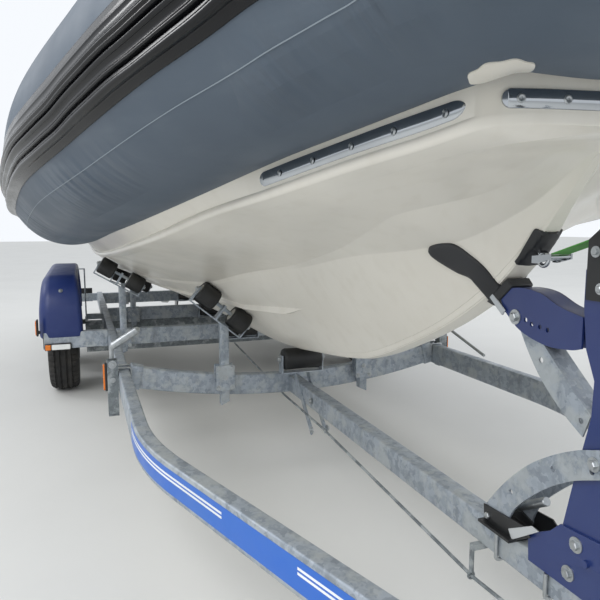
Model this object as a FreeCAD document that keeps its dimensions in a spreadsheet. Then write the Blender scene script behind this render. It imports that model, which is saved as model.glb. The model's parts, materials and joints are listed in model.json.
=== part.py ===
"""Rigid inflatable boat standing on its twin-axle road trailer.

Millimetres. +X points to the bow and the drawbar, +Y to port, +Z up; the ground is z = 0.
The trailer's chassis carries the places of everything: the front cross beam is the datum of
the trailer, and the bow face of the moulded hull is the datum of the boat.
"""

import FreeCAD, Part

import math
import os

from FreeCAD import Placement, Rotation, Vector

doc = FreeCAD.newDocument("rib_boat_on_trailer")
sheet = doc.addObject("Spreadsheet::Sheet", "Sizes")

# Name, value in millimetres (degrees where the name says so), what it measures
SIZES = [
    ("front_beam_x", 75.5, "front face of the front cross beam, from the middle of the part"),
    ("second_beam_back", 1085, "front beam's front face to the second beam's"),
    ("third_beam_back", 2075, "front beam's front face to the third beam's"),
    ("fourth_beam_back", 3195, "front beam's front face to the fourth beam's"),
    ("rail_back", 3345, "front beam's front face to the rails' rear ends"),
    ("rail_top", 450, "top of the side rails above the ground"),
    ("rail_height", 100, "height of the side rails' section"),
    ("rail_width", 48, "width of the side rails' section"),
    ("rail_centre_y", 821, "middle of a side rail from the centre plane"),
    ("rail_straight_ahead", 775, "front beam to the start of the rails' bend"),
    ("rail_bend_radius", 1250, "inside bend of the rails"),
    ("rail_nose_y", 30, "middle of a drawbar leg's nose from the centre plane"),
    ("rail_nose_back", 285, "front end of the spine to the legs' noses"),
    ("beam_width", 50, "depth of a cross beam along the trailer"),
    ("beam_height", 100, "height of a cross beam"),
    ("front_beam_proud", 12, "ends of the front beam above the rails"),
    ("front_beam_dip", 97, "how far the middle of the front beam hangs below its ends"),
    ("beam_short", 24, "outer end of the second beam inside the mudguard's outer edge"),
    ("spine_width", 60, "width of the central spine"),
    ("spine_height", 80, "height of the central spine"),
    ("nose_behind", 350, "towing ball to the spine's front end"),
    ("tyre_radius", 325, "outside of the tyres"),
    ("tyre_width", 185, "width of the tyres"),
    ("rim_radius", 178, "bead seat of the rims"),
    ("wheel_outboard", 289, "middle of a side rail to the middle of a tyre"),
    ("front_wheel_back", 1520, "front beam's front face to the front axle"),
    ("wheel_spacing", 780, "front axle to rear axle"),
    ("axle_tube", 80, "side of the square axle tubes"),
    ("hub_radius", 62, "wheel hub and brake drum boss"),
    ("guard_width", 250, "width of the mudguards"),
    ("guard_top", 785, "top of the mudguards"),
    ("guard_low", 400, "lower edges of the mudguards"),
    ("guard_wall", 6, "wall of the moulded mudguards"),
    ("guard_round", 220, "bends at the ends of the mudguards"),
    ("guard_edge", 26, "rounding of the mudguards' outer edge"),
    ("guard_lip", 62, "outer lip of the mudguards"),
    ("roller_radius", 52, "side rollers"),
    ("roller_length", 96, "side rollers"),
    ("roller_pitch", 190, "between the two rollers of a swinging pair"),
    ("keel_roller_length", 190, "keel rollers"),
    ("running_gap", 0.3, "where a piece rests on or runs beside another"),
    ("moving_gap", 6, "between pieces that move past each other"),
    ("keel_z", 475, "underside of the keel aft"),
    ("bow_ahead", 1990, "front beam to the bow face of the hull's flange"),
    ("hull_length", 5515, "bow face to transom"),
    ("hull_half_beam", 955, "tube seat from the centre plane, at its widest"),
    ("hull_depth", 535, "keel to tube seat aft"),
    ("tube_radius", 270, "buoyancy tube"),
    ("tube_lean", 68, "tube centre line outboard of its seat"),
    ("cone_length", 400, "tail cones of the tube"),
    ("cone_radius", 110, "end of the tail cones"),
    ("strake_thick", 22, "rubbing strake, out from the tube"),
    ("floor_thick", 24, "cockpit floor"),
    ("bow_deck_z", 1440, "top of the raised bow deck"),
    ("transom_thick", 60, "transom board"),
    ("transom_top", 1330, "transom beside the engine cut-out"),
    ("engine_notch_z", 1130, "bottom of the engine cut-out"),
    ("engine_notch_half", 330, "half width of the engine cut-out"),
    ("console_ahead", 2650, "transom to the console's front, at deck level"),
    ("console_long", 680, "console at deck level"),
    ("console_half", 380, "half width of the console"),
    ("console_high", 900, "console above the floor"),
    ("console_wall", 10, "moulded wall of the console"),
    ("seat_behind", 250, "console's after side to the helm seat"),
    ("seat_long", 430, "helm seat"),
    ("seat_half", 430, "half width of the helm seat"),
    ("seat_high", 660, "helm seat base above the floor"),
    ("bench_behind", 210, "helm seat to the stern bench"),
    ("bench_long", 420, "stern bench"),
    ("bench_half", 690, "half width of the stern bench"),
    ("bench_high", 360, "stern bench base above the floor"),
    ("cushion_thick", 90, "seat cushions"),
    ("lid_thick", 20, "moulded lids"),
    ("arch_top_z", 2360, "roll bar above the ground"),
    ("arch_half", 640, "half width of the roll bar at its feet"),
    ("arch_tube_radius", 24, "roll bar tube"),
    ("engine_back", 130, "transom to the engine's steering axis"),
    ("tilt_axis_z", 1195, "engine's tilt tube"),
    ("propeller_radius", 185, "propeller"),
    ("propeller_z", 335, "propeller shaft above the ground"),
    ("ball_radius", 25, "towing ball"),
    ("coupling_z", 408, "middle of the towing ball above the ground"),
    ("coupling_ahead", 3990, "front beam to the towing ball"),
    ("jockey_radius", 110, "jockey wheel"),
    ("jockey_behind", 915, "towing ball to the jockey tube"),
    ("jockey_outboard", 69, "drawbar leg's middle to the jockey tube"),
    ("stand_leg", 45, "side of the prop stands' square sleeves"),
    ("stand_wall", 3, "wall of the prop stands' sleeves"),
    ("stand_outboard", 50, "middle of a side rail to the prop stand legs"),
    ("post_ahead", 1895, "front beam to the middle of the winch post"),
    ("post_top", 1010, "top of the winch post"),
    ("winch_z", 1070, "winch drum above the ground"),
    ("snubber_ahead", 1590, "front beam to the middle of the rubber bow stop"),
    ("snubber_z", 955, "middle of the rubber bow stop"),
    ("eye_ahead", 1690, "front beam to the middle of the towing eye on the stem"),
    ("eye_z", 1022, "towing eye above the ground"),
    ("strip_height", 32, "polished strips on the bow band"),
    ("strip_thick", 5, "polished strips"),
    ("winch_ahead", 60, "winch drum ahead of the middle of the post"),
    ("winch_crank", 150, "winch crank"),
]

for row, (name, value, note) in enumerate(SIZES, start=1):
    sheet.set(f"A{row}", name)
    sheet.set(f"B{row}", str(value))
    sheet.set(f"C{row}", note)
    sheet.setAlias(f"B{row}", name)
doc.recompute()


class Sizes:
    """Reads a driving dimension from the sheet by its alias."""

    def __getattr__(self, name):
        return float(sheet.get(name))


s = Sizes()
PIECES = []


# Ways of making a shape


def block(x0, x1, y0, y1, z0, z1):
    return Part.makeBox(x1 - x0, y1 - y0, z1 - z0, Vector(x0, y0, z0))


def rod(start, end, radius):
    start, end = Vector(*start), Vector(*end)
    return Part.makeCylinder(radius, (end - start).Length, start, end - start)


def ring(start, end, radius, bore):
    return rod(start, end, radius).cut(rod(start, end, bore))


def polygon(points):
    points = [Vector(*p) for p in points]
    return Part.makePolygon(points + points[:1])


def side_plate(outline, y0, y1):
    """A flat plate whose outline is drawn in the XZ plane."""
    return Part.Face(polygon([(x, y0, z) for x, z in outline])).extrude(Vector(0, y1 - y0, 0))


def cross_plate(outline, x0, x1):
    """A flat plate whose outline is drawn in the YZ plane."""
    return Part.Face(polygon([(x0, y, z) for y, z in outline])).extrude(Vector(x1 - x0, 0, 0))


def mirrored(shape):
    return shape.mirror(Vector(0, 0, 0), Vector(0, 1, 0))


def both_sides(shape):
    return [shape, mirrored(shape)]


def ruled(sections):
    return Part.makeLoft(sections, True, True)


def fused(shapes):
    result = shapes[0]
    for shape in shapes[1:]:
        result = result.fuse(shape)
    return result.removeSplitter()


def round_path(points, radius):
    """Straight runs joined by tangent arcs of one radius."""
    points = [Vector(*p) for p in points]
    edges, start = [], points[0]
    for before, corner, after in zip(points, points[1:], points[2:]):
        back = (before - corner).normalize()
        ahead = (after - corner).normalize()
        half = back.getAngle(ahead) / 2
        reach = radius / math.tan(half)
        bisector = (back + ahead).normalize()
        middle = corner + bisector * (radius / math.sin(half) - radius)
        first, last = corner + back * reach, corner + ahead * reach
        edges.append(Part.LineSegment(start, first).toShape())
        edges.append(Part.Arc(first, middle, last).toShape())
        start = last
    edges.append(Part.LineSegment(start, points[-1]).toShape())
    return Part.Wire(edges)


def pipe(points, bend, radius):
    path = round_path(points, bend)
    start = Vector(*points[0])
    direction = Vector(*points[1]) - start
    profile = Part.Wire([Part.Circle(start, direction, radius).toShape()])
    return path.makePipeShell([profile], True, False)


# Ways of adding a piece to the document


def add_shape(name, *shapes):
    feature = doc.addObject("Part::Feature", name)
    solids = [solid for shape in shapes for solid in shape.Solids]
    feature.Shape = Part.makeCompound(solids)
    feature.Placement = Placement()
    feature.Label = name
    PIECES.append(feature)
    return feature


def bound_box(name, corner, sides):
    """A box whose corner and sides are expressions of the sheet's sizes."""
    box = doc.addObject("Part::Box", name)
    for prop, text in zip(("Length", "Width", "Height"), sides):
        box.setExpression(prop, text)
    for axis, text in zip("xyz", corner):
        box.setExpression(f"Placement.Base.{axis}", text)
    return box


def finish_piece(feature, label):
    feature.Label = label
    PIECES.append(feature)
    return feature


def draw(sketch, start, steps):
    """Closes an outline of straight steps ("line", end) and arcs ("arc", middle, end)."""
    here = Vector(start[0], start[1], 0)
    for step in steps:
        end = Vector(step[-1][0], step[-1][1], 0)
        if step[0] == "line":
            sketch.addGeometry(Part.LineSegment(here, end))
        else:
            middle = Vector(step[1][0], step[1][1], 0)
            sketch.addGeometry(Part.Arc(here, middle, end))
        here = end


def sketched_body(name, plane_role, outlines):
    body = doc.addObject("PartDesign::Body", name)
    sketch = body.newObject("Sketcher::SketchObject", f"{name}_outline")
    plane = [f for f in body.Origin.OriginFeatures if f.Role == plane_role][0]
    sketch.AttachmentSupport = [(plane, "")]
    sketch.MapMode = "FlatFace"
    for start, steps in outlines:
        draw(sketch, start, steps)
    return body, sketch


def padded_body(name, plane_role, outlines, depth, base=(0, 0, 0)):
    """A body padded equally to both sides of its sketch by an expression of the sheet."""
    body, sketch = sketched_body(name, plane_role, outlines)
    pad = body.newObject("PartDesign::Pad", f"{name}_pad")
    pad.Profile = sketch
    pad.setExpression("Length", depth)
    pad.Midplane = True
    body.Placement = Placement(Vector(*base), Rotation())
    return body


def turned_body(name, outline, base, axis_turn=Rotation()):
    """A body turned about its own Y axis from an outline of (radius, distance along Y)."""
    start, steps = outline
    body, sketch = sketched_body(name, "XY_Plane", [(start, steps)])
    turn = body.newObject("PartDesign::Revolution", f"{name}_turn")
    turn.Profile = sketch
    turn.ReferenceAxis = (sketch, ["V_Axis"])
    turn.Angle = 360
    body.Placement = Placement(Vector(*base), axis_turn)
    return body


def lines(points):
    """An outline of straight steps through the points, closed on the first one."""
    return points[0], [("line", p) for p in points[1:] + points[:1]]


# Places worked out from the sizes

bow_x = s.front_beam_x + s.bow_ahead
transom_x = bow_x - s.hull_length
spine_top = s.rail_top - s.rail_height
spine_low = spine_top - s.spine_height
second_beam_x = s.front_beam_x - s.second_beam_back
third_beam_x = s.front_beam_x - s.third_beam_back
fourth_beam_x = s.front_beam_x - s.fourth_beam_back
rail_end_x = s.front_beam_x - s.rail_back
rail_inner_y = s.rail_centre_y - s.rail_width / 2
rail_outer_y = s.rail_centre_y + s.rail_width / 2
front_axle_x = s.front_beam_x - s.front_wheel_back
rear_axle_x = front_axle_x - s.wheel_spacing
ball_x = s.front_beam_x + s.coupling_ahead
nose_x = ball_x - s.nose_behind
post_x = s.front_beam_x + s.post_ahead
wheel_centre_y = s.rail_centre_y + s.wheel_outboard
guard_inner_y = wheel_centre_y - s.guard_width / 2
beam_reach_y = guard_inner_y + s.guard_width - s.beam_short
stand_y = s.rail_centre_y + s.stand_outboard
jockey_x = ball_x - s.jockey_behind

# The drawbar legs leave the rails' bends as tangents that end at the noses
rail_bend_x = s.front_beam_x + s.rail_straight_ahead
rail_nose_x = nose_x - s.rail_nose_back
nose_run_x = rail_nose_x - rail_bend_x
nose_run_y = s.rail_nose_y - (s.rail_centre_y - s.rail_bend_radius)
rail_angle = (math.pi / 2 - math.atan2(nose_run_y, nose_run_x)
              - math.acos(s.rail_bend_radius / math.hypot(nose_run_x, nose_run_y)))
jockey_y = s.rail_nose_y + (rail_nose_x - jockey_x) * math.tan(rail_angle) + s.jockey_outboard

# Hull sections of a hull 5515 long, 955 to its tube seat and 535 deep, scaled to the sizes.
# Columns: distance aft of the bow face, keel height above the after keel, then half breadth
# and height above the after keel of the chine, the flare, the ledge, the bead and the seat.
HULL_SECTIONS = [
    (5515, 0, (820, 330), (832, 344), (855, 438), (905, 448), (950, 535)),
    (4065, 0, (780, 325), (792, 339), (858, 438), (908, 450), (955, 535)),
    (3095, 0, (660, 315), (674, 329), (855, 442), (905, 454), (955, 535)),
    (2415, 7, (530, 323), (544, 337), (843, 458), (893, 468), (948, 541)),
    (1995, 25, (425, 345), (439, 359), (818, 482), (868, 490), (925, 560)),
    (1565, 73, (340, 417), (354, 431), (770, 522), (820, 532), (880, 598)),
    (1165, 133, (270, 475), (286, 489), (705, 570), (755, 581), (815, 640)),
    (815, 255, (250, 530), (285, 552), (610, 633), (660, 647), (698, 706)),
    (475, 430, (140, 576), (300, 640), (525, 679), (575, 692), (568, 776)),
    (295, 590, (60, 660), (150, 697), (426, 718), (496, 729), (489, 811)),
    (215, 693, (34, 722), (130, 728), (390, 732), (463, 743), (456, 826)),
    (145, 768, (24, 769), (110, 765), (345, 748), (430, 756), (423, 839)),
    (85, 778, (22, 779), (100, 775), (301, 758), (400, 770), (393, 849)),
    (60, 781, (20, 782), (95, 778), (270, 763), (376, 780), (368, 859)),
    (45, 783, (18, 784), (80, 781), (221, 770), (342, 787), (332, 866)),
    (25, 785, (16, 786), (60, 784), (144, 781), (268, 791), (252, 872)),
    (0, 787, (12, 788), (25, 788), (55, 787), (110, 792), (92, 874)),
]
DRAWN_LENGTH, DRAWN_HALF_BEAM, DRAWN_DEPTH = 5515, 955, 535
BEAD_RADIUS = 11
KEEL_BAND, KEEL_BAND_RISE = 32, 4
SEAT_INSIDE = 90
SEAT_RISE = 10
# Where the side's and the bow face's tube seats would meet in a sharp corner
SEAT_CORNER = (30, (372, 862))
LAST_SIDE_ROW = 11


def hull_point(drawn_aft, pair):
    half, height = pair
    return Vector(bow_x - drawn_aft * s.hull_length / DRAWN_LENGTH,
                  half * s.hull_half_beam / DRAWN_HALF_BEAM,
                  s.keel_z + height * s.hull_depth / DRAWN_DEPTH)


def keel_band_edge(row):
    """The flat keel band narrows with the chine towards the stem."""
    return min(KEEL_BAND, 0.4 * row[2][0]), row[1] + KEEL_BAND_RISE * min(1, row[2][0] / 140)


def hull_section(row):
    aft, keel, chine, flare, ledge, bead, seat = row
    half = [
        hull_point(aft, (0, keel)),
        hull_point(aft, keel_band_edge(row)),
        hull_point(aft, chine),
        hull_point(aft, flare),
        hull_point(aft, ledge),
        hull_point(aft, (bead[0] - BEAD_RADIUS, bead[1] - 4)),
        hull_point(aft, (bead[0], bead[1] + BEAD_RADIUS)),
        hull_point(aft, (bead[0] - 8, bead[1] + 2 * BEAD_RADIUS)),
        hull_point(aft, seat),
        hull_point(aft, (max(seat[0] - SEAT_INSIDE, 5), seat[1] + SEAT_RISE)),
    ]
    port = [(p.x, p.y, p.z) for p in half]
    starboard = [(p.x, -p.y, p.z) for p in reversed(half[1:])]
    return polygon(port + starboard)


def seat_line():
    """The tube seat from the transom to the bow's corner, on the port side."""
    side = [hull_point(row[0], row[6]) for row in HULL_SECTIONS[:LAST_SIDE_ROW]]
    return side + [hull_point(*SEAT_CORNER)]


def bottom_at(x, y):
    """Height and slope (degrees) of the hull's underside at a place, on straight sections."""
    rows = sorted((hull_point(r[0], r[2]).x, r) for r in HULL_SECTIONS)
    for (x0, low), (x1, high) in zip(rows, rows[1:]):
        if x0 <= x <= x1:
            share = (x - x0) / (x1 - x0)
            break
    corners = []
    for index in (None, 2, 3, 4):
        ends = []
        for row in (low, high):
            pair = keel_band_edge(row) if index is None else row[index]
            ends.append(hull_point(row[0], pair))
        corners.append(ends[0] + (ends[1] - ends[0]) * share)
    inner, outer = corners[0], corners[1]
    for start, end in zip(corners[1:], corners[2:]):
        if y > start.y:
            inner, outer = start, end
    slope = (outer.z - inner.z) / (outer.y - inner.y)
    return inner.z + (y - inner.y) * slope, math.degrees(math.atan(slope))


# Buoyancy tube: its centre line stands off the seat line, and rounds the blunt bow

tube_rise = math.sqrt(s.tube_radius ** 2 - s.tube_lean ** 2) - 8


def tube_centre_line():
    """Port half from the stern to the middle of the bow, then mirrored to starboard."""
    seats = seat_line()
    half = []
    for index, seat in enumerate(seats):
        before = seats[max(index - 1, 0)]
        after = seats[min(index + 1, len(seats) - 1)]
        run = after - before
        outward = Vector(-run.y, run.x, 0).normalize()
        half.append(seat + outward * s.tube_lean + Vector(0, 0, tube_rise))
    corner = half.pop()
    last_side = half[-1]
    nose = Vector(bow_x + s.tube_lean, 0, corner.z + 6)
    turn_in = 0.42
    first = last_side + (corner - last_side) * (1 - turn_in)
    second = Vector(nose.x - 26, corner.y - 26, corner.z + 1)
    third = Vector(nose.x, corner.y * 0.45, corner.z + 4)
    half += [first, second, third, nose]
    tail_start = half[0] - Vector(40, 0, 0)
    tail = tail_start + Vector(-s.cone_length, 0, 45)
    port = [tail, tail_start] + half[1:]
    starboard = [Vector(p.x, -p.y, p.z) for p in reversed(port[:-1])]
    return port + starboard


TUBE_LINE = tube_centre_line()


def station_axes(index):
    """Point, outward, up and stretch of the mitre plane at a station of the tube's line."""
    point = TUBE_LINE[index]
    first = TUBE_LINE[max(index - 1, 0)]
    last = TUBE_LINE[min(index + 1, len(TUBE_LINE) - 1)]
    run_in = (point - first).normalize() if index > 0 else None
    run_out = (last - point).normalize() if index < len(TUBE_LINE) - 1 else None
    run_in = run_in or run_out
    run_out = run_out or run_in
    tangent = (run_in + run_out).normalize()
    outward = tangent.cross(Vector(0, 0, 1)).normalize() * -1
    up = outward.cross(tangent).normalize() * -1
    if up.z < 0:
        up = up * -1
    half_turn = run_in.getAngle(run_out) / 2
    return point, outward, up, 1 / math.cos(half_turn)


def tube_circle(index, radius):
    point, outward, up, stretch = station_axes(index)
    normal = outward.cross(up)
    if stretch < 1.0005:
        circle = Part.Circle(point, normal, radius)
        circle.XAxis = outward
        return Part.Wire([circle.toShape()])
    far, near = point + outward * radius * stretch, point + up * radius
    return Part.Wire([Part.Ellipse(far, near, point).toShape()])


def tube_solid(extra=0.0):
    count = len(TUBE_LINE)
    sections = []
    for index in range(count):
        tail = index in (0, count - 1)
        radius = s.cone_radius if tail else s.tube_radius
        sections.append(tube_circle(index, radius + extra))
    return ruled(sections)


def strake_section(index, profile):
    point, outward, up, stretch = station_axes(index)
    corners = []
    for angle, radius in profile:
        reach = math.radians(angle)
        corners.append(point + outward * (radius * math.cos(reach) * stretch)
                       + up * (radius * math.sin(reach)))
    return polygon([(p.x, p.y, p.z) for p in corners])


# Rubbing strake profile: angle up from level (degrees) and height above the tube in shares
# of the strake's thickness, from its lower tape over four ribs to its upper tape
STRAKE_PROFILE = [
    (-27, 0.12), (-17, 0.14), (-15, 0.95), (-8, 1.0), (-6, 0.35), (-4, 0.9), (0, 0.9), (3, 0.3),
    (8, 0.3), (9, 0.75), (12, 0.75), (13.5, 0.35), (15, 0.8), (18, 0.8), (20, 0.14), (27, 0.12),
]


def make_boat_hull():
    tube = tube_solid(s.running_gap)
    shell = ruled([hull_section(row) for row in HULL_SECTIONS])
    hull = shell.cut(tube)
    inner = s.bench_half + 40
    low = s.keel_z + s.hull_depth
    board = [(-inner, low - 60), (inner, low - 60), (inner, s.transom_top),
             (s.engine_notch_half + 60, s.transom_top), (s.engine_notch_half, s.engine_notch_z),
             (-s.engine_notch_half, s.engine_notch_z), (-s.engine_notch_half - 60, s.transom_top),
             (-inner, s.transom_top)]
    board = cross_plate(board, transom_x, transom_x + s.transom_thick).cut(tube)
    hull = fused([hull, board])
    add_shape("hull", hull)
    add_shape("tube_collar", tube_solid())
    gap = s.running_gap
    flats = (s.tube_radius + gap) / math.cos(math.radians(4.5))
    inside = [(angle, flats) for angle in (27, 18, 9, 0, -9, -18, -27)]
    outside = [(angle, flats + share * s.strake_thick)
               for angle, share in STRAKE_PROFILE]
    stations = range(1, len(TUBE_LINE) - 1)
    add_shape("rub_strake", ruled([strake_section(i, outside + inside) for i in stations]))
    return hull


def deck_section(row, half, z_top):
    """A four-cornered section that stands on the hull's top and reaches up to a height."""
    foot = hull_point(row[0], (0, row[6][1] + SEAT_RISE)).z + s.running_gap
    x = hull_point(row[0], (0, 0)).x
    top = z_top if z_top else foot + s.floor_thick
    return polygon([(x, -half, foot), (x, half, foot), (x, half - 10, top), (x, -half + 10, top)])


LOCKER_LONG, LOCKER_HALF = 520, 260
LOCKER_BEHIND_BOW = 1455


def make_deck():
    """Cockpit floor on the hull's top, with the raised bow deck and its locker."""
    scale = s.hull_half_beam / DRAWN_HALF_BEAM
    floor_rows = HULL_SECTIONS[:7]
    floor = ruled([deck_section(r, r[6][0] * scale - SEAT_INSIDE, 0) for r in floor_rows])
    floor = floor.cut(block(transom_x - 10, transom_x + s.transom_thick + s.running_gap,
                            -2000, 2000, 0, 3000))
    overhang = s.tube_radius - s.tube_lean
    raised = []
    for row in HULL_SECTIONS[5:10]:
        raised.append(deck_section(row, row[6][0] * scale - overhang - 24, s.bow_deck_z))
    platform = ruled(raised)
    locker_x = bow_x - LOCKER_BEHIND_BOW
    hatch = block(locker_x, locker_x + LOCKER_LONG, -LOCKER_HALF, LOCKER_HALF,
                  s.bow_deck_z - 190, s.bow_deck_z + 10)
    add_shape("deck_liner", fused([floor, platform]).cut(hatch))
    lap, low = 14, s.bow_deck_z + s.running_gap
    lid = block(locker_x - lap, locker_x + LOCKER_LONG + lap, -LOCKER_HALF - lap,
                LOCKER_HALF + lap, low, low + s.lid_thick)
    hinge_x, hinge_z = locker_x - lap - 5, low + 8
    knuckle = rod((hinge_x, -120, hinge_z), (hinge_x, 120, hinge_z), 8)
    add_shape("bow_locker_lid", fused([lid, knuckle]))


def floor_z_at(x):
    rows = sorted((hull_point(r[0], r[6]).x, hull_point(r[0], r[6]).z) for r in HULL_SECTIONS)
    for (x0, z0), (x1, z1) in zip(rows, rows[1:]):
        if x0 <= x <= x1:
            seat = z0 + (z1 - z0) * (x - x0) / (x1 - x0)
    scale = s.hull_depth / DRAWN_DEPTH
    return seat + (SEAT_RISE + s.running_gap + s.floor_thick) * scale


def band_at(aft):
    """Foot and head of the upright band between the bead and the tube seat."""
    for far, near in zip(HULL_SECTIONS, HULL_SECTIONS[1:]):
        if near[0] <= aft <= far[0]:
            share = (aft - near[0]) / (far[0] - near[0])
            ends = []
            for row in (near, far):
                bead, seat = row[5], row[6]
                ends.append((hull_point(row[0], (bead[0] - 8, bead[1] + 2 * BEAD_RADIUS)),
                             hull_point(row[0], seat)))
            return [a + (b - a) * share for a, b in zip(*ends)]


def band_quad(aft, low, high, thick):
    """Section of a strip on the upright band, between two shares of the band's height."""
    foot, head = band_at(aft)
    rise = head - foot
    out = Vector(0, rise.z, -rise.y).normalize()
    start, end = foot + rise * low + out * s.running_gap, foot + rise * high + out * s.running_gap
    corners = [start, end, end + out * thick, start + out * thick]
    return polygon([(p.x, p.y, p.z) for p in corners])


# Ends of the side strips, aft of the bow face
SIDE_STRIP = (545, 70)


def make_bow_trim():
    """Polished strips screwed to the bow's band, and the towing eye with its shackle."""
    thick = s.strip_thick
    scale = s.hull_length / DRAWN_LENGTH
    stations = [SIDE_STRIP[0] * scale] + [r[0] for r in HULL_SECTIONS[8:13]]
    stations.append(SIDE_STRIP[1] * scale)
    side = ruled([band_quad(aft, 0.06, 0.62, thick) for aft in stations])
    plan = [hull_point(row[0], (max(row[5][0] - 8, row[6][0]), row[6][1]))
            for row in HULL_SECTIONS[14:]]
    inner = [(p.x + s.running_gap, p.y) for p in plan]
    outer = [(x + thick, y) for x, y in inner]
    low = band_at(45)[0].z + 2
    outline = inner + [(x, -y) for x, y in reversed(inner)]
    outline += [(x, -y) for x, y in outer] + list(reversed(outer))
    front = Part.Face(polygon([(x, y, low) for x, y in outline]))
    front = front.extrude(Vector(0, 0, s.strip_height))
    add_shape("bow_strips", *(both_sides(side) + [front]))
    eye_x, eye_z = s.front_beam_x + s.eye_ahead, s.eye_z
    point, _, away, _ = stem_frame()
    stand = (Vector(eye_x, 0, eye_z) - point).dot(away)
    ring_minor, ring_major = 5, 15
    eye = Part.makeTorus(ring_major, ring_minor)
    eye.rotate(Vector(0, 0, 0), Vector(1, 0, 0), 90)
    eye.translate(Vector(eye_x, 0, eye_z))
    centre = Vector(eye_x, 0, eye_z)
    shank = rod(centre - away * (stand - s.running_gap), centre - away * (ring_major - 1), 7)
    pin_x = eye_x + ring_major - ring_minor - 4 - s.running_gap
    pin = rod((pin_x, -22, eye_z), (pin_x, 22, eye_z), 4)
    ends = [side_plate([(pin_x - 8, eye_z - 8), (pin_x + 8, eye_z - 8), (pin_x + 46, eye_z + 2),
                        (pin_x + 46, eye_z + 14), (pin_x - 8, eye_z + 8)], y0, y0 + 5)
            for y0 in (-32, 27)]
    ends += [rod((pin_x, y0, eye_z), (pin_x, y0 + 12, eye_z), 4) for y0 in (-32, 20)]
    bar = rod((pin_x + 42, -32, eye_z + 8), (pin_x + 42, 32, eye_z + 8), 4)
    add_shape("bow_eye", fused([eye, shank]), fused([pin, bar] + ends))


def make_cockpit():
    gap = s.running_gap
    front_x = transom_x + s.console_ahead
    back_x = front_x - s.console_long
    base_z = floor_z_at(front_x) + gap
    top_z = base_z + s.console_high
    half, wall = s.console_half, s.console_wall
    outline = [(back_x, base_z), (front_x, base_z), (front_x - 60, base_z + 560),
               (front_x - 150, top_z), (back_x + 120, top_z), (back_x - 40, top_z - 230),
               (back_x, top_z - 420)]
    middle_x = (front_x + back_x) / 2
    middle_z = (base_z + top_z) / 2

    def inset(point):
        x, z = point
        dx = wall if x < middle_x else -wall
        dz = wall if z < middle_z else -wall
        return x + dx, (z + dz if z > base_z + 1 else base_z - 5)

    shell = side_plate(outline, -half, half)
    shell = shell.cut(side_plate([inset(p) for p in outline], -half + wall, half - wall))
    door_low, door_high = base_z + 60, base_z + 540
    door_back, door_front = back_x + 190, front_x - 190
    opening = block(door_back, door_front, half - wall - 5, half + 5, door_low, door_high)
    add_shape("console", shell.cut(opening))
    lap, face = 14, half + s.running_gap
    door = block(door_back - lap, door_front + lap, face, face + 12, door_low - lap, door_high + lap)
    hinge_x = door_front + lap + 3
    hinge = rod((hinge_x, face + 6, door_low + 40), (hinge_x, face + 6, door_high - 40), 6)
    add_shape("console_door", fused([door, hinge]))
    screen_low = top_z
    lean = 150
    screen = [(front_x - 165, screen_low + gap), (front_x - 159, screen_low + gap),
              (front_x - 159 - lean, screen_low + 330), (front_x - 165 - lean, screen_low + 330)]
    add_shape("windscreen", side_plate(screen, -half + 30, half - 30))
    return back_x, top_z


def make_steering_wheel(back_x, top_z):
    """A wheel square to the sloping panel on the console's after side."""
    radius, thick, stand = 175, 13, 90
    panel = Vector(160, 0, 230).normalize()
    into = Vector(panel.z, 0, -panel.x)
    foot = Vector(back_x + 40, 0, top_z - 115)
    hub = foot - into * (stand + s.running_gap)
    torus = Part.makeTorus(radius, thick)
    boss = Part.makeCylinder(38, 50, Vector(0, 0, -25))
    spokes = [Part.makeBox(radius, 26, 8, Vector(0, -13, -4)) for _ in range(3)]
    for turn, spoke in enumerate(spokes):
        spoke.rotate(Vector(0, 0, 0), Vector(0, 0, 1), 90 + turn * 120)
    shaft = Part.makeCylinder(15, stand)
    wheel = fused([torus, boss, shaft] + spokes)
    wheel.Placement = Placement(hub, Rotation(Vector(0, 0, 1), into))
    add_shape("steering_wheel", wheel)


def make_seats():
    gap = s.running_gap
    front = transom_x + s.console_ahead - s.console_long - s.seat_behind
    back = front - s.seat_long
    floor = floor_z_at(front) + gap
    top = floor + s.seat_high
    base = side_plate([(back + 40, floor), (front - 40, floor), (front, top), (back, top)],
                      -s.seat_half, s.seat_half)
    rest = pipe([(back + 40, -s.seat_half + 40, top - 20), (back + 10, -s.seat_half + 40, top + 330),
                 (back + 10, s.seat_half - 40, top + 330), (back + 40, s.seat_half - 40, top - 20)],
                60, 16)
    add_shape("helm_seat", fused([base, rest]))
    cushion = block(back + 60, front, -s.seat_half, s.seat_half,
                    top + gap, top + gap + s.cushion_thick)
    pad = block(back + 26 + gap, back + 26 + gap + 60, -s.seat_half + 70, s.seat_half - 70,
                top + s.cushion_thick + 60, top + 400)
    add_shape("helm_cushions", cushion, pad)
    front = back - s.bench_behind
    back = front - s.bench_long
    floor = floor_z_at(front) + gap
    top = floor + s.bench_high
    hollow = block(back + 30, front - 30, -s.bench_half + 30, s.bench_half - 30, floor + 40, top + 5)
    add_shape("stern_bench", block(back, front, -s.bench_half, s.bench_half, floor, top).cut(hollow))
    lid = block(back, front, -s.bench_half, s.bench_half, top + gap, top + gap + s.lid_thick)
    knuckle = rod((back - 5, -s.bench_half + 60, top + 11), (back - 5, s.bench_half - 60, top + 11), 8)
    add_shape("bench_lid", fused([lid, knuckle]))
    low = top + s.lid_thick + 2 * gap
    add_shape("bench_cushion", block(back + 10, front, -s.bench_half + 5, s.bench_half - 5,
                                     low, low + s.cushion_thick))


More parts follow.
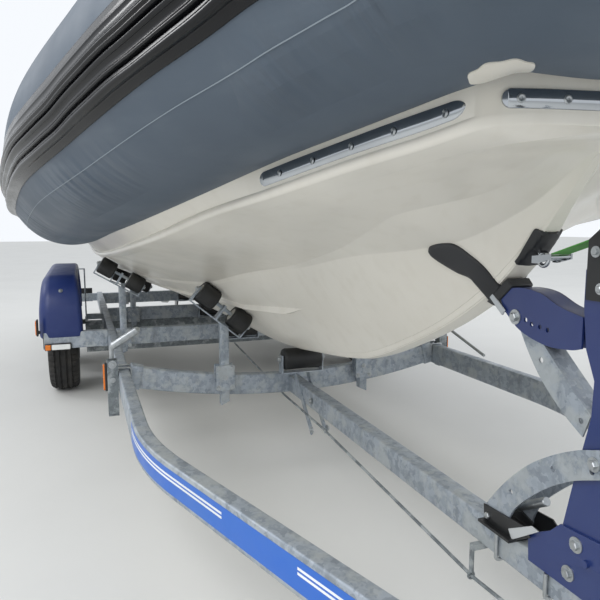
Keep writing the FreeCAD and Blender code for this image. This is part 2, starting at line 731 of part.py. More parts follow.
def make_roll_bar():
    foot_z = s.transom_top + s.running_gap
    x = transom_x + s.transom_thick / 2
    half, top, r = s.arch_half, s.arch_top_z - s.arch_tube_radius, s.arch_tube_radius
    hoop = pipe([(x, -half, foot_z + 12), (x - 120, -half + 60, top),
                 (x - 120, half - 60, top), (x, half, foot_z + 12)], 160, r)
    feet = both_sides(block(x - 30, x + 30, half - 45, half + 45, foot_z, foot_z + 14))
    add_shape("roll_bar", fused([hoop] + feet))


def make_engine():
    """Outboard engine: clamp bracket, swivel bracket, leg, cowl and propeller."""
    gap, clear = s.running_gap, s.moving_gap
    axis_x = transom_x - s.engine_back
    face = transom_x - gap
    tilt_x, tilt_z = transom_x - 30, s.tilt_axis_z
    cheeks = []
    for y0, y1 in ((-140, -115), (115, 140)):
        cheek = [(face, s.engine_notch_z - 260), (face, s.engine_notch_z + gap),
                 (transom_x + s.transom_thick + 30, s.engine_notch_z + gap),
                 (transom_x + s.transom_thick + 30, s.engine_notch_z + 40),
                 (face - 20, tilt_z + 35), (face - 60, tilt_z + 30), (face - 70, tilt_z - 60)]
        cheeks.append(side_plate(cheek, y0, y1))
    shaft = rod((tilt_x, -150, tilt_z), (tilt_x, 150, tilt_z), 14)
    add_shape("engine_bracket", fused(cheeks + [shaft]))
    tube = ring((tilt_x, -109, tilt_z), (tilt_x, 109, tilt_z), 30, 14 + 0.1)
    arm = block(axis_x - 10, tilt_x - 20, -60, 60, tilt_z - 60, tilt_z + 20)
    sleeve = rod((axis_x, 0, tilt_z - 300), (axis_x, 0, tilt_z + 25), 48)
    swivel = fused([tube, arm, sleeve])
    swivel = swivel.cut(rod((tilt_x, -200, tilt_z), (tilt_x, 200, tilt_z), 14 + 0.1))
    bore = rod((axis_x, 0, tilt_z - 310), (axis_x, 0, tilt_z + 35), 26 + 0.1)
    add_shape("engine_swivel", swivel.cut(bore))
    pin = rod((axis_x, 0, tilt_z - 320), (axis_x, 0, tilt_z + 45), 26)
    upper = block(axis_x - 260, axis_x + 60, -70, 70, tilt_z + 25 + clear, tilt_z + 90)
    lower = block(axis_x - 150, axis_x + 50, -60, 60, tilt_z - 380, tilt_z - 300 - clear)
    back_leg = side_plate([(axis_x - 260, tilt_z + 90), (axis_x - 60, tilt_z + 90),
                           (axis_x - 60, tilt_z - 380), (axis_x - 80, s.propeller_z + 150),
                           (axis_x - 300, s.propeller_z + 150), (axis_x - 240, tilt_z - 380)],
                          -62, 62)
    plate_z = s.propeller_z + s.propeller_radius + 25
    anti = block(axis_x - 420, axis_x - 60, -110, 110, plate_z, plate_z + 12)
    gear_front, gear_back = axis_x - 60, axis_x - 400
    gearcase = rod((gear_back, 0, s.propeller_z), (gear_front - 60, 0, s.propeller_z), 58)
    nose = Part.makeCone(58, 18, 90, Vector(gear_front - 60, 0, s.propeller_z), Vector(1, 0, 0))
    strut = side_plate([(axis_x - 80, plate_z + 5), (axis_x - 90, s.propeller_z),
                        (axis_x - 330, s.propeller_z), (axis_x - 300, plate_z + 5)], -28, 28)
    skeg = side_plate([(axis_x - 110, s.propeller_z), (axis_x - 220, s.propeller_z - 150),
                       (axis_x - 320, s.propeller_z - 150), (axis_x - 350, s.propeller_z)], -8, 8)
    shaft = rod((gear_back - 130, 0, s.propeller_z), (gear_back + 5, 0, s.propeller_z), 12)
    leg = fused([pin, upper, lower, back_leg, anti, gearcase, nose, strut, skeg, shaft])
    add_shape("engine_leg", leg)
    cowl_low = tilt_z + 90 + gap
    cowl = side_plate([(axis_x + 70, cowl_low), (axis_x + 90, cowl_low + 330),
                       (axis_x + 20, cowl_low + 520), (axis_x - 300, cowl_low + 560),
                       (axis_x - 470, cowl_low + 430), (axis_x - 480, cowl_low + 120),
                       (axis_x - 400, cowl_low)], -200, 200)
    edges = [e for e in cowl.Edges if abs(e.BoundBox.YLength) < 1e-6]
    cowl = cowl.makeFillet(70, edges)
    add_shape("engine_cowl", cowl)
    hub_back, hub_front = gear_back - 105, gear_back - 3
    hub = ring((hub_back, 0, s.propeller_z), (hub_front, 0, s.propeller_z), 50, 12.1)
    blades = []
    for turn in range(3):
        near = [(hub_front - 20, -38, 36), (hub_front - 40, -80, 120),
                (hub_front - 50, -40, s.propeller_radius - 12),
                (hub_front - 62, 10, s.propeller_radius - 2), (hub_front - 85, 50, 120),
                (hub_front - 88, 30, 38)]
        corner = [Vector(*p) for p in near]
        flat = Vector(1, 0.55, 0).normalize()
        origin = corner[0]
        flattened = [p - flat * (p - origin).dot(flat) for p in corner]
        blade = Part.Face(Part.makePolygon(flattened + flattened[:1])).extrude(flat * 7)
        blade.rotate(Vector(0, 0, 0), Vector(1, 0, 0), turn * 120)
        blade.translate(Vector(0, 0, s.propeller_z))
        blades.append(blade)
    keep = rod((hub_back - 40, 0, s.propeller_z), (hub_front + 60, 0, s.propeller_z),
               s.propeller_radius)
    bore = rod((hub_back - 40, 0, s.propeller_z), (hub_front + 80, 0, s.propeller_z), 30)
    blades = [blade.common(keep).cut(bore) for blade in blades]
    add_shape("propeller", fused([hub] + blades))


# Trailer


def make_chassis():
    half, turn, angle = s.rail_width / 2, s.rail_bend_radius, rail_angle
    mid = angle / 2
    depth = "Sizes.rail_height"
    for side, sign in (("starboard", -1), ("port", 1)):
        def at(radius_shift, phi):
            radius = turn + radius_shift
            return (rail_bend_x + radius * math.sin(phi),
                    sign * (s.rail_centre_y - turn + radius * math.cos(phi)))

        def end(shift):
            return (rail_nose_x + shift * math.sin(angle),
                    sign * (s.rail_nose_y + shift * math.cos(angle)))
        start = (rail_end_x, sign * (s.rail_centre_y + half))
        steps = [("line", at(half, 0)), ("arc", at(half, mid), at(half, angle)),
                 ("line", end(half)), ("line", end(-half)), ("line", at(-half, angle)),
                 ("arc", at(-half, mid), at(-half, 0)),
                 ("line", (rail_end_x, sign * (s.rail_centre_y - half))), ("line", start)]
        rail = padded_body(f"rail_{side}", "XY_Plane", [(start, steps)], depth,
                           (0, 0, s.rail_top - s.rail_height / 2))
        finish_piece(rail, f"rail_{side}")
    spine = bound_box("spine_bar", ("Sizes.front_beam_x", "-Sizes.spine_width / 2",
                                    "Sizes.rail_top - Sizes.rail_height - Sizes.spine_height"),
                      ("Sizes.coupling_ahead - Sizes.nose_behind", "Sizes.spine_width",
                       "Sizes.spine_height"))
    finish_piece(spine, "spine")


def make_beams():
    half_span = rail_inner_y
    dip, end_top = s.front_beam_dip, s.rail_top + s.front_beam_proud
    end_low = end_top - s.beam_height
    start = (-half_span, end_top)
    steps = [("arc", (0, end_top - dip), (half_span, end_top)), ("line", (half_span, end_low)),
             ("arc", (0, end_low - dip), (-half_span, end_low)), ("line", start)]
    beam = padded_body("front_beam_body", "YZ_Plane", [(start, steps)], "Sizes.beam_width",
                       (s.front_beam_x - s.beam_width / 2, 0, 0))
    finish_piece(beam, "front_beam")
    # Straight beams: between the rails, and out under the mudguards at the second
    top, low = s.rail_top, s.rail_top - s.beam_height
    shapes = []
    for x in (second_beam_x, third_beam_x, fourth_beam_x):
        shapes.append(block(x - s.beam_width, x, -half_span, half_span, low, top))
    stub = block(second_beam_x - s.beam_width, second_beam_x, rail_outer_y, beam_reach_y, low, top)
    shapes += both_sides(stub)
    shapes.append(block(rail_end_x - 40, rail_end_x, -beam_reach_y + 60, beam_reach_y - 60,
                        low + 15, top - 15))
    stay_x = front_axle_x - s.wheel_spacing / 2
    under = s.guard_top - s.guard_wall - s.running_gap
    stay = [block(stay_x - 20, stay_x + 20, rail_outer_y, guard_inner_y - 20, top - 50, top - 10),
            block(stay_x - 20, stay_x + 20, guard_inner_y - 30, guard_inner_y - 20, top - 50, under),
            block(stay_x - 20, stay_x + 20, guard_inner_y - 30, guard_inner_y + 100,
                  under - 6, under)]
    shapes += both_sides(fused(stay))
    add_shape("cross_beams", *shapes)


def make_axles():
    """Square tubes under the rails with trailing arms and stub axles."""
    pieces = []
    tube = s.axle_tube
    top = s.rail_top - s.rail_height
    arm_in = wheel_centre_y - s.tyre_width / 2 - 50
    for axle_x in (front_axle_x, rear_axle_x):
        tube_x = axle_x + 150
        beam = block(tube_x - tube / 2, tube_x + tube / 2, -arm_in + 20, arm_in - 20, top - tube, top)
        parts = [beam]
        for sign in (-1, 1):
            y0, y1 = sorted((sign * (arm_in - 20), sign * arm_in))
            arm = side_plate([(axle_x - 35, s.tyre_radius - 35), (axle_x - 35, s.tyre_radius + 35),
                              (tube_x - 20, top), (tube_x + tube / 2, top),
                              (tube_x + tube / 2, top - tube), (axle_x + 20, s.tyre_radius - 40)],
                             y0, y1)
            stub = rod((axle_x, sign * (arm_in - 10), s.tyre_radius),
                       (axle_x, sign * (wheel_centre_y + 60), s.tyre_radius), 20)
            parts += [arm, stub]
        pieces.append(fused(parts))
    add_shape("axles", *pieces)


def make_wheels():
    """A tyre and a steel rim with its hub at each of the four wheel places."""
    half, radius, seat = s.tyre_width / 2, s.tyre_radius, s.rim_radius
    bead = half - 22
    crown = radius - 1
    tyre = ((seat + 0.3, -bead),
            [("line", (seat + 25, -bead - 14)),
             ("arc", (seat + 80, -half), (radius - 14, -half + 20)),
             ("line", (crown, -half + 34)), ("line", (radius, -20)), ("line", (radius, 20)),
             ("line", (crown, half - 34)), ("line", (radius - 14, half - 20)),
             ("arc", (seat + 80, half), (seat + 25, bead + 14)),
             ("line", (seat + 0.3, bead)), ("line", (seat + 0.3, -bead))])
    bore = 20.1
    rim_out = [(bore, 10), (s.hub_radius, 10), (s.hub_radius, 46), (110, 40), (seat - 14, 52),
               (seat - 14, bead - 6), (seat, bead - 2), (seat, -bead + 2), (seat - 14, -bead + 6),
               (seat - 14, 20), (seat - 30, 26), (110, 28), (s.hub_radius + 12, -10),
               (s.hub_radius + 12, -40), (bore, -40)]
    for end, axle_x in (("front", front_axle_x), ("rear", rear_axle_x)):
        for side, sign in (("starboard", -1), ("port", 1)):
            base = (axle_x, sign * wheel_centre_y, s.tyre_radius)
            turn = Rotation() if sign > 0 else Rotation(Vector(0, 0, 1), 180)
            name = f"{end}_{side}"
            finish_piece(turned_body(f"tyre_{name}", tyre, base, turn), f"tyre_{name}")
            finish_piece(turned_body(f"rim_{name}", lines(rim_out), base, turn), f"rim_{name}")


def guard_block(inset, y0, y1):
    """The room under a mudguard's outline, its outer edge rounded, from y0 out to y1."""
    front_x = second_beam_x + s.guard_wall + s.running_gap - inset
    back_x = rear_axle_x - s.tyre_radius - 75 + inset
    top, low, turn = s.guard_top - inset, s.guard_low, s.guard_round - inset
    k = 1 - math.sqrt(0.5)

    def at(x, z):
        return Vector(x, y0, z)

    edges = [
        Part.LineSegment(at(front_x, low), at(front_x, top - turn)),
        Part.Arc(at(front_x, top - turn), at(front_x - turn * k, top - turn * k),
                 at(front_x - turn, top)),
        Part.LineSegment(at(front_x - turn, top), at(back_x + turn, top)),
        Part.Arc(at(back_x + turn, top), at(back_x + turn * k, top - turn * k),
                 at(back_x, top - turn)),
        Part.LineSegment(at(back_x, top - turn), at(back_x, low)),
        Part.LineSegment(at(back_x, low), at(front_x, low)),
    ]
    face = Part.Face(Part.Wire([edge.toShape() for edge in edges]))
    return face.extrude(Vector(0, y1 - y0, 0))


def rounded_outer(block_shape, y1, radius):
    """Rounds the edges of a mudguard block on its outer side, apart from the bottom one."""
    edges = [e for e in block_shape.Edges if abs(e.BoundBox.YMin - y1) < 0.01
             and abs(e.BoundBox.YMax - y1) < 0.01 and e.BoundBox.ZMax > s.guard_low + 1]
    return block_shape.makeFillet(radius, edges)


def make_mudguards():
    """A moulded guard over both wheels of a side: a bent band with a rounded outer lip."""
    wall, outer = s.guard_wall, guard_inner_y + s.guard_width
    skin = rounded_outer(guard_block(0, guard_inner_y, outer), outer, s.guard_edge)
    room = rounded_outer(guard_block(wall, guard_inner_y - 10, outer - wall), outer - wall,
                         s.guard_edge - wall)
    arch = guard_block(s.guard_lip, outer - s.guard_width / 2, outer + 10)
    floor = block(-5000, 5000, guard_inner_y - 20, outer + 20, s.guard_low - 5, s.guard_low + 0.5)
    guard = skin.cut(room).cut(arch).cut(floor)
    add_shape("mudguards", *both_sides(guard))


def make_roller(centre, along, length, radius):
    """A barrel roller with rounded ends on its pin hole."""
    start = Vector(*centre) - along * (length / 2)
    body = Part.makeCylinder(radius, length, start, along)
    return body.makeChamfer(8, [e for e in body.Edges if e.Length > radius * 5])


def keel_slope_at(x):
    rows = sorted((hull_point(r[0], (0, r[1])).x, hull_point(r[0], (0, r[1])).z)
                  for r in HULL_SECTIONS)
    for (x0, z0), (x1, z1) in zip(rows, rows[1:]):
        if x0 <= x <= x1:
            return z0 + (z1 - z0) * (x - x0) / (x1 - x0), math.atan((z1 - z0) / (x1 - x0))


def plane_plate(corners, thickness):
    """A flat plate from its four corners, thickened along a vector."""
    return Part.Face(Part.makePolygon(corners + corners[:1])).extrude(thickness)


# Roller posts: face of the beam that carries the post, middle of the swinging pair from the
# centre plane, foot of the post, lower and upper edge of its clamp
ROLLER_POSTS = [
    (s.front_beam_x, 362, 245, 318, 440),
    (second_beam_x, rail_inner_y - 47, 300, 342, 458),
    (third_beam_x, 610, 300, 342, 458),
    (fourth_beam_x, 610, 300, 342, 458),
]
POST_SIDE, PIN_RADIUS, LUG = 40, 9, 6


def roller_drum(centre, along, length):
    drum = make_roller((centre.x, centre.y, centre.z), along, length, s.roller_radius)
    start = centre - along * (length / 2 + 10)
    return drum.cut(Part.makeCylinder(PIN_RADIUS + 0.1, length + 20, start, along))


def make_rollers():
    """Swinging pairs of side rollers on clamped posts, and keel rollers on the centre line."""
    gap, radius, length, pitch = s.running_gap, s.roller_radius, s.roller_length, s.roller_pitch
    posts, brackets, rollers = [], [], []
    reach = (pitch + length) / 2 + 2
    drop = radius + 10
    for face_x, pair_y, foot_z, clamp_low, clamp_high in ROLLER_POSTS:
        x = face_x + POST_SIDE / 2 + LUG
        _, slope = bottom_at(x, pair_y - 30)
        tilt = math.radians(slope)
        along = Vector(0, math.cos(tilt), math.sin(tilt))
        normal = Vector(0, math.sin(tilt), -math.cos(tilt))
        contact_y = pair_y - math.sin(tilt) * radius
        # Lift the pair until its drums lie just clear of the hull everywhere
        lift = 1e9
        for step in range(-10, 11):
            y = contact_y + math.cos(tilt) * step * (length + pitch) / 20
            if abs(step) * (length + pitch) / 20 < (pitch - length) / 2:
                continue
            for side in range(-8, 9):
                dx = side * radius / 10
                under, _ = bottom_at(x + dx, y)
                line = (y - contact_y) * math.tan(tilt)
                arc = (radius - math.sqrt(radius ** 2 - dx ** 2)) / math.cos(tilt)
                lift = min(lift, under - line + arc)
        middle = Vector(x, contact_y, lift) + normal * (radius + gap)
        pin = Part.makeCylinder(PIN_RADIUS, 2 * reach + 2 * LUG, middle - along * (reach + LUG), along)
        fore = Vector(POST_SIDE / 2, 0, 0)
        lugs = []
        for start, thick in ((-reach - LUG, LUG), (-5, 10), (reach, LUG)):
            foot = middle + along * start
            corners = [foot - normal * 16 - fore, foot - normal * 16 + fore,
                       foot + normal * drop + fore, foot + normal * drop - fore]
            lugs.append(plane_plate(corners, along * thick))
        start = middle + normal * drop - along * (reach + LUG)
        end = middle + normal * drop + along * (reach + LUG)
        base = plane_plate([start - fore, start + fore, end + fore, end - fore], normal * LUG)
        brackets += both_sides(fused([pin, base] + lugs))
        for sign in (-1, 1):
            rollers += both_sides(roller_drum(middle + along * (sign * pitch / 2), along, length))
        below = (drop + LUG + gap) / math.cos(tilt)
        skew = math.tan(tilt) * POST_SIDE / 2
        post_y, half = middle.y, POST_SIDE / 2
        post = cross_plate([(post_y - half, foot_z + 18), (post_y + half, foot_z),
                            (post_y + half, middle.z - below + skew),
                            (post_y - half, middle.z - below - skew)],
                           face_x + LUG, face_x + LUG + POST_SIDE)
        wide = half + 24
        plates = [block(x0, x0 + LUG - gap, post_y - wide, post_y + wide, clamp_low, clamp_high)
                  for x0 in (face_x + gap, face_x + LUG + POST_SIDE)]
        straps = [block(face_x + gap, face_x + 2 * LUG + POST_SIDE - gap, y - 5, y + 5,
                        clamp_low + 10, clamp_high - 25)
                  for y in (post_y - half - 5, post_y + half + 5)]
        posts += both_sides(fused([post] + plates + straps))
    add_shape("roller_posts", *posts)
    for face_x in (s.front_beam_x, second_beam_x, third_beam_x, fourth_beam_x):
        front = face_x == s.front_beam_x
        x = face_x + (105 if front else 66)
        keel, slope = keel_slope_at(x)
        z = keel - radius / math.cos(slope) - gap
        half = s.keel_roller_length / 2
        rollers.append(roller_drum(Vector(x, 0, z), Vector(0, 1, 0), s.keel_roller_length))
        pin = rod((x, -half - 14, z), (x, half + 14, z), PIN_RADIUS)
        tray_z = z - drop - LUG
        cheeks = [side_plate([(x - 24, z + 20), (x + 24, z + 20), (x + 24, tray_z),
                              (x - 24, tray_z)], y0, y0 + LUG) for y0 in (-half - 10, half + 4)]
        parts = [pin, block(x - 24, x + 24, -half - 10, half + 10, tray_z, tray_z + LUG)] + cheeks
        if front:
            lean = Vector(265, 0, -255).normalize()
            edge = Vector(-lean.z, 0, lean.x) * 15
            for y0 in (-s.spine_width / 2 - LUG - gap, s.spine_width / 2 + gap):
                top = Vector(x - 6, y0, tray_z + 2) - lean * 12
                tip = top + lean * 345
                parts.append(plane_plate([top + edge, top - edge, tip - edge, tip + edge],
                                         Vector(0, LUG, 0)))
            keep = block(x - 200, x + 400, -200, 200, 0, tray_z + 3)
            bars = [part.common(keep) for part in parts[-2:]]
            parts = parts[:-2] + bars
        else:
            parts.append(block(face_x + gap, face_x + LUG, -60, 60, tray_z, s.rail_top - 12))
            parts.append(block(face_x + gap, x, -40, 40, tray_z, tray_z + LUG))
        brackets.append(fused(parts))
    add_shape("roller_brackets", *brackets)
    add_shape("rollers", *rollers)


def arc_plate(steps, start, y0, y1):
    """A plate in the XZ plane whose outline has straight steps and arcs."""
    wire, here = [], Vector(start[0], y0, start[1])
    for step in steps:
        end = Vector(step[-1][0], y0, step[-1][1])
        if step[0] == "line":
            wire.append(Part.LineSegment(here, end).toShape())
        else:
            wire.append(Part.Arc(here, Vector(step[1][0], y0, step[1][1]), end).toShape())
        here = end
    return Part.Face(Part.Wire(wire)).extrude(Vector(0, y1 - y0, 0))


def post_outline(points):
    """Points given ahead of the post's middle and above the ground."""
    return [(post_x + ahead, z) for ahead, z in points]


# Side views round the winch post: millimetres ahead of its middle, and above the ground
MAST_BACK = [(-54, 560), (-34, 646), (-18, 712), (-16, 789), (-41, 848), (-53, 936)]
CHEEK = [(-167, 326), (205, 326), (190, 420), (60, 470), (-77, 458), (-106, 428), (-134, 412),
         (-171, 386)]
BRACE = {"outer": [(-322, 364), (-182, 548), (3, 654)], "inner": [(-237, 364), (-155, 490), (22, 599)]}
STRUT = {"lower": [(-239, 855), (-163, 753), (-20, 652)], "upper": [(-182, 847), (-123, 793), (0, 693)]}
ARM_TOP = [(-213, 922), (-149, 901), (-54, 893), (0, 893)]
ARM_LOW = [(0, 846), (-87, 838), (-159, 835), (-241, 855)]
ARM_HALF, BRACE_PLATE = 26, 6


def make_winch_post():
    """Mast with its cheek plates, curved braces, the strut and the arm of the bow stop."""
    gap = s.running_gap
    half = s.spine_width / 2
    back = post_outline(MAST_BACK)
    outline = [(post_x + 45, spine_top + gap), (post_x + 45, s.post_top), (back[-1][0], s.post_top)]
    outline += list(reversed(back)) + [(post_x - 75, 460), (post_x - 75, spine_top + gap)]
    mast = side_plate(outline, -half, half)
    cheeks = [side_plate(post_outline(CHEEK), y0, y1)
              for y0, y1 in ((-half - 6, -half - gap), (half + gap, half + 6))]
    bolt = rod((post_x, -half - 14, spine_top + 60), (post_x, half + 14, spine_top + 60), 8)
    add_shape("winch_post", fused([mast, bolt] + cheeks))
    # Curved braces stand outside the cheeks and the saddle, and end on the mast's bolts
    outer, inner = post_outline(BRACE["outer"]), post_outline(BRACE["inner"])
    end_x = post_x + 60
    steps = [("arc", outer[1], outer[2]), ("line", (end_x, outer[2][1] + 18)),
             ("line", (end_x, inner[2][1] + 14)), ("line", inner[2]), ("arc", inner[1], inner[0]),
             ("line", outer[0])]
    near = half + 6 + gap
    braces = both_sides(arc_plate(steps, outer[0], near, near + BRACE_PLATE))
    pins = rod((post_x, -near - BRACE_PLATE, 626), (post_x, near + BRACE_PLATE, 626), 7)
    spacers = [rod((post_x, sign * (half + gap), 626), (post_x, sign * (near + 1), 626), 12)
               for sign in (-1, 1)]
    lower, upper = post_outline(STRUT["lower"]), post_outline(STRUT["upper"])
    steps = [("arc", lower[1], lower[2]), ("line", upper[2]), ("arc", upper[1], upper[0]),
             ("line", lower[0])]
    strut = arc_plate(steps, lower[0], -ARM_HALF, ARM_HALF)
    _, stem, away, _ = stem_frame()
    seat = stem_frame()[0] + away * (SNUBBER_DEPTH + 2 * gap)
    top_end, low_end = seat + stem * 24, seat - stem * 24
    arm = post_outline(ARM_TOP + ARM_LOW) + [(low_end.x, low_end.z), (top_end.x, top_end.z)]
    arm = side_plate(arm, -ARM_HALF, ARM_HALF)
    beside = mast.copy()
    beside.translate(Vector(-gap, 0, 0))
    under = arm.copy()
    under.translate(Vector(0, 0, -gap))
    arm = arm.cut(beside)
    strut = strut.cut(beside).cut(under)
    mast_bore = rod((post_x, -half - 1, 626), (post_x, half + 1, 626), 7)
    add_shape("post_braces", fused(braces + spacers + [pins.cut(mast_bore)]), strut)
    add_shape("snubber_arm", arm)
    # The saddle under the braces' feet: a plate over the spine with two upright walls
    foot_x = post_x - 323
    walls = both_sides(side_plate([(foot_x, spine_top - 18), (foot_x + 93, spine_top - 14),
                                   (foot_x + 93, spine_top + 22), (foot_x, spine_top + 47)],
                                  half + gap, half + 6))
    plate = block(foot_x, foot_x + 118, -half - 32, half + 32, spine_top + gap, spine_top + 8)
    add_shape("brace_foot", fused([plate] + walls))


SNUBBER_DEPTH = 36


def stem_frame():
    """Where the bow stop meets the stem: point, up the stem, away from it, off to port."""
    low_row, high_row = HULL_SECTIONS[8], HULL_SECTIONS[9]
    low, high = hull_point(low_row[0], (0, low_row[1])), hull_point(high_row[0], (0, high_row[1]))
    stem = (high - low).normalize()
    away = Vector(stem.z, 0, -stem.x)
    point = low + stem * ((s.snubber_z - low.z) / stem.z)
    return point, stem, away, Vector(-115, 158, 112).normalize()


# Outline of a paddle of the bow stop: out from the stem, and up along it
PADDLE = [(-10, 22), (26, 42), (60, 58), (102, 68), (149, 73), (182, 56), (198, 24), (184, 4),
          (113, 0), (74, 6), (46, -4), (6, -21), (-10, -24)]


def make_snubber(hull):
    """Rubber bow stop: a block on the arm's end with a paddle up each side of the stem."""
    point, stem, away, across = stem_frame()
    origin = point + away * 15 - stem * 28 + Vector(0, 30, 0)
    corners = [origin + across * out + stem * up for out, up in PADDLE]
    normal = (across.cross(stem)).normalize()
    if normal.dot(away) > 0:
        normal = normal * -1
    flat = [p - normal * (p - origin).dot(normal) for p in corners]
    paddle = Part.Face(Part.makePolygon(flat + flat[:1])).extrude(normal * 60)
    beside = hull.copy()
    beside.translate(normal * -s.running_gap)
    paddle = paddle.cut(beside)
    paddle = max(paddle.Solids, key=lambda solid: solid.Volume)
    near, far = point + away * 10, point + away * SNUBBER_DEPTH
    middle = [near + stem * 40, near - stem * 60, far - stem * 42, far + stem * 42]
    heart = side_plate([(p.x, p.z) for p in middle], -34, 34).cut(beside)
    add_shape("snubber", fused([heart, paddle, mirrored(paddle)]))


def make_winch():
    """Winch between two plates at the post's head, and its webbing strap to the eye."""
    gap, z = s.running_gap, s.winch_z
    x = post_x + s.winch_ahead
    inner = s.spine_width / 2 + gap
    outline = [(post_x - 45, s.post_top - 60), (post_x + 45, s.post_top - 60),
               (x + 60, s.post_top + 10), (x + 55, z + 45), (x - 45, z + 48), (post_x - 45, z)]
    frame = [side_plate(outline, y0, y0 + 6) for y0 in (-inner - 6, inner)]
    frame.append(block(post_x - 45, x + 50, -inner - 1, inner + 1, s.post_top + gap,
                       s.post_top + 5))
    bore = rod((x, -60, z), (x, 60, z), 10.2)
    add_shape("winch_frame", fused(frame).cut(bore))
    knob_x, knob_z = x, z + s.winch_crank
    add_shape("winch_drum", fused([
        rod((x, -29, z), (x, 29, z), 32), rod((x, -50, z), (x, 70, z), 10),
        side_plate([(x - 13, z - 15), (x + 13, z - 15), (knob_x + 9, knob_z + 9),
                    (knob_x - 9, knob_z + 9)], 60, 68),
        rod((knob_x, 64, knob_z), (knob_x, 165, knob_z), 14)]))
    bar = Vector(s.front_beam_x + s.eye_ahead + 47.7, 0, s.eye_z + 8 + 4 + gap)
    drum = Vector(x, 0, z)
    run = drum - bar
    tangent = math.asin((32 + gap) / run.Length) + math.atan2(run.z, run.x)
    along = Vector(math.cos(tangent), 0, math.sin(tangent))
    over = Vector(-along.z, 0, along.x)
    far = bar + along * (run.Length * math.cos(math.asin((32 + gap) / run.Length)))
    shift = drum + over * (32 + gap) - far
    far = far + shift
    corners = [bar, far, far + over * 3, bar + over * 3]
    strap = plane_plate(corners, Vector(0, 50, 0))
    strap.translate(Vector(0, -25, 0))
    add_shape("winch_strap", strap)


def make_coupling():
    gap = s.running_gap
    z = s.coupling_z
    top = s.rail_top - s.rail_height
    house_back, house_front = nose_x - 210, nose_x
    housing = fused([block(house_back, house_front, -45, 45, top + gap, top + 14),
                     block(house_back + 10, house_front - 10, -36, 36, top + 14, z + 46)])
    shaft = rod((house_front - 20, 0, z), (ball_x - 60, 0, z), 25)
    bellows = rod((house_front - 10, 0, z), (house_front + 110, 0, z), 38)
    head = fused([rod((ball_x, 0, z - 22), (ball_x, 0, z + 40), 44),
                  block(ball_x - 110, ball_x, -34, 34, z - 18, z + 38)])
    head = head.cut(rod((ball_x, 0, z - 60), (ball_x, 0, z), s.ball_radius + 0.4))
    head = head.cut(Part.makeSphere(s.ball_radius + 0.4, Vector(ball_x, 0, z)))
    lever = side_plate([(ball_x - 40, z + 36), (ball_x - 190, z + 78), (ball_x - 200, z + 92),
                        (ball_x - 20, z + 60)], -12, 12)
    brake = side_plate([(house_front - 60, z + 40), (house_front - 30, z + 40),
                        (house_front - 250, z + 260), (house_front - 275, z + 245)], -52, -40)
    foot = block(house_front - 80, house_front - 20, -52, -35, z - 10, z + 44)
    add_shape("coupling", fused([housing, shaft, bellows, head, lever, foot, brake]))


def make_jockey():
    gap = s.running_gap
    x, y = jockey_x, jockey_y
    low, top = 260, 720
    tube = ring((x, y, low), (x, y, top), 30, 24.1)
    cap = rod((x, y, top), (x, y, top + 16), 32)
    crank = fused([rod((x, y, top + 16), (x, y, top + 40), 8),
                   block(x - 8, x + 130, y - 8, y + 8, top + 34, top + 42),
                   rod((x + 120, y, top + 42), (x + 120, y, top + 120), 12)])
    clamp = block(x - 32, x + 32, y - 60, y + 20, s.rail_top + gap, s.rail_top + 60)
    clamp = fused([clamp, tube]).cut(rod((x, y, low - 1), (x, y, top), 24.1))
    add_shape("jockey_tube", fused([clamp, cap, crank]))
    axle_z = s.jockey_radius
    trail = 45
    inner = rod((x, y, 2 * s.jockey_radius + 20), (x, y, top - 30), 24)
    crown = block(x - trail - 30, x + 32, y - 48, y + 48, 2 * s.jockey_radius + 12,
                  2 * s.jockey_radius + 22)
    plates = [side_plate([(x - trail - 22, axle_z - 20), (x - trail + 22, axle_z - 20),
                          (x + 20, 2 * s.jockey_radius + 14), (x - trail - 22, 2 * s.jockey_radius + 14)],
                         y0, y0 + 5) for y0 in (y - 48, y + 43)]
    pin = rod((x - trail, y - 54, axle_z), (x - trail, y + 54, axle_z), 8)
    add_shape("jockey_fork", fused([inner, crown, pin] + plates))
    wheel = rod((x - trail, y - 35, axle_z), (x - trail, y + 35, axle_z), s.jockey_radius)
    wheel = wheel.makeFillet(18, [e for e in wheel.Edges if e.Length > 500])
    wheel = wheel.cut(rod((x - trail, y - 40, axle_z), (x - trail, y + 40, axle_z), 8.1))
    add_shape("jockey_wheel", wheel)


# Prop stands: side, place ahead of the front beam, foot and top when stowed
STANDS = [("starboard", -1, 35, 262, 505), ("port", 1, -25, 336, 570)]


def make_prop_stands():
    """Box legs that slide down out of square sleeves bolted to the rails."""
    half, wall = s.stand_leg / 2, s.stand_wall
    bore, fit = half - wall, 0.3
    leg_half = bore - fit
    sleeves = []
    for side, sign, ahead, low, high in STANDS:
        x, y = s.front_beam_x + ahead, sign * stand_y
        leg = block(x - leg_half, x + leg_half, y - leg_half, y + leg_half, low - 4, high - 8)
        foot = block(x - half, x + half, y - half, y + half, low - 10, low - 4)
        add_shape(f"stand_leg_{side}", fused([leg, foot]))
        outer = block(x - half, x + half, y - half, y + half, low, high)
        inner = block(x - bore, x + bore, y - bore, y + bore, low - 1, high + 1)
        edges = sorted((sign * (rail_outer_y + s.running_gap), sign * (stand_y - half + 1)))
        bracket = block(x - half - 12, x + half + 12, edges[0], edges[1],
                        s.rail_top - 80, s.rail_top - 15)
        sleeves.append(fused([outer, bracket]).cut(inner))
    add_shape("stand_sleeves", *sleeves)


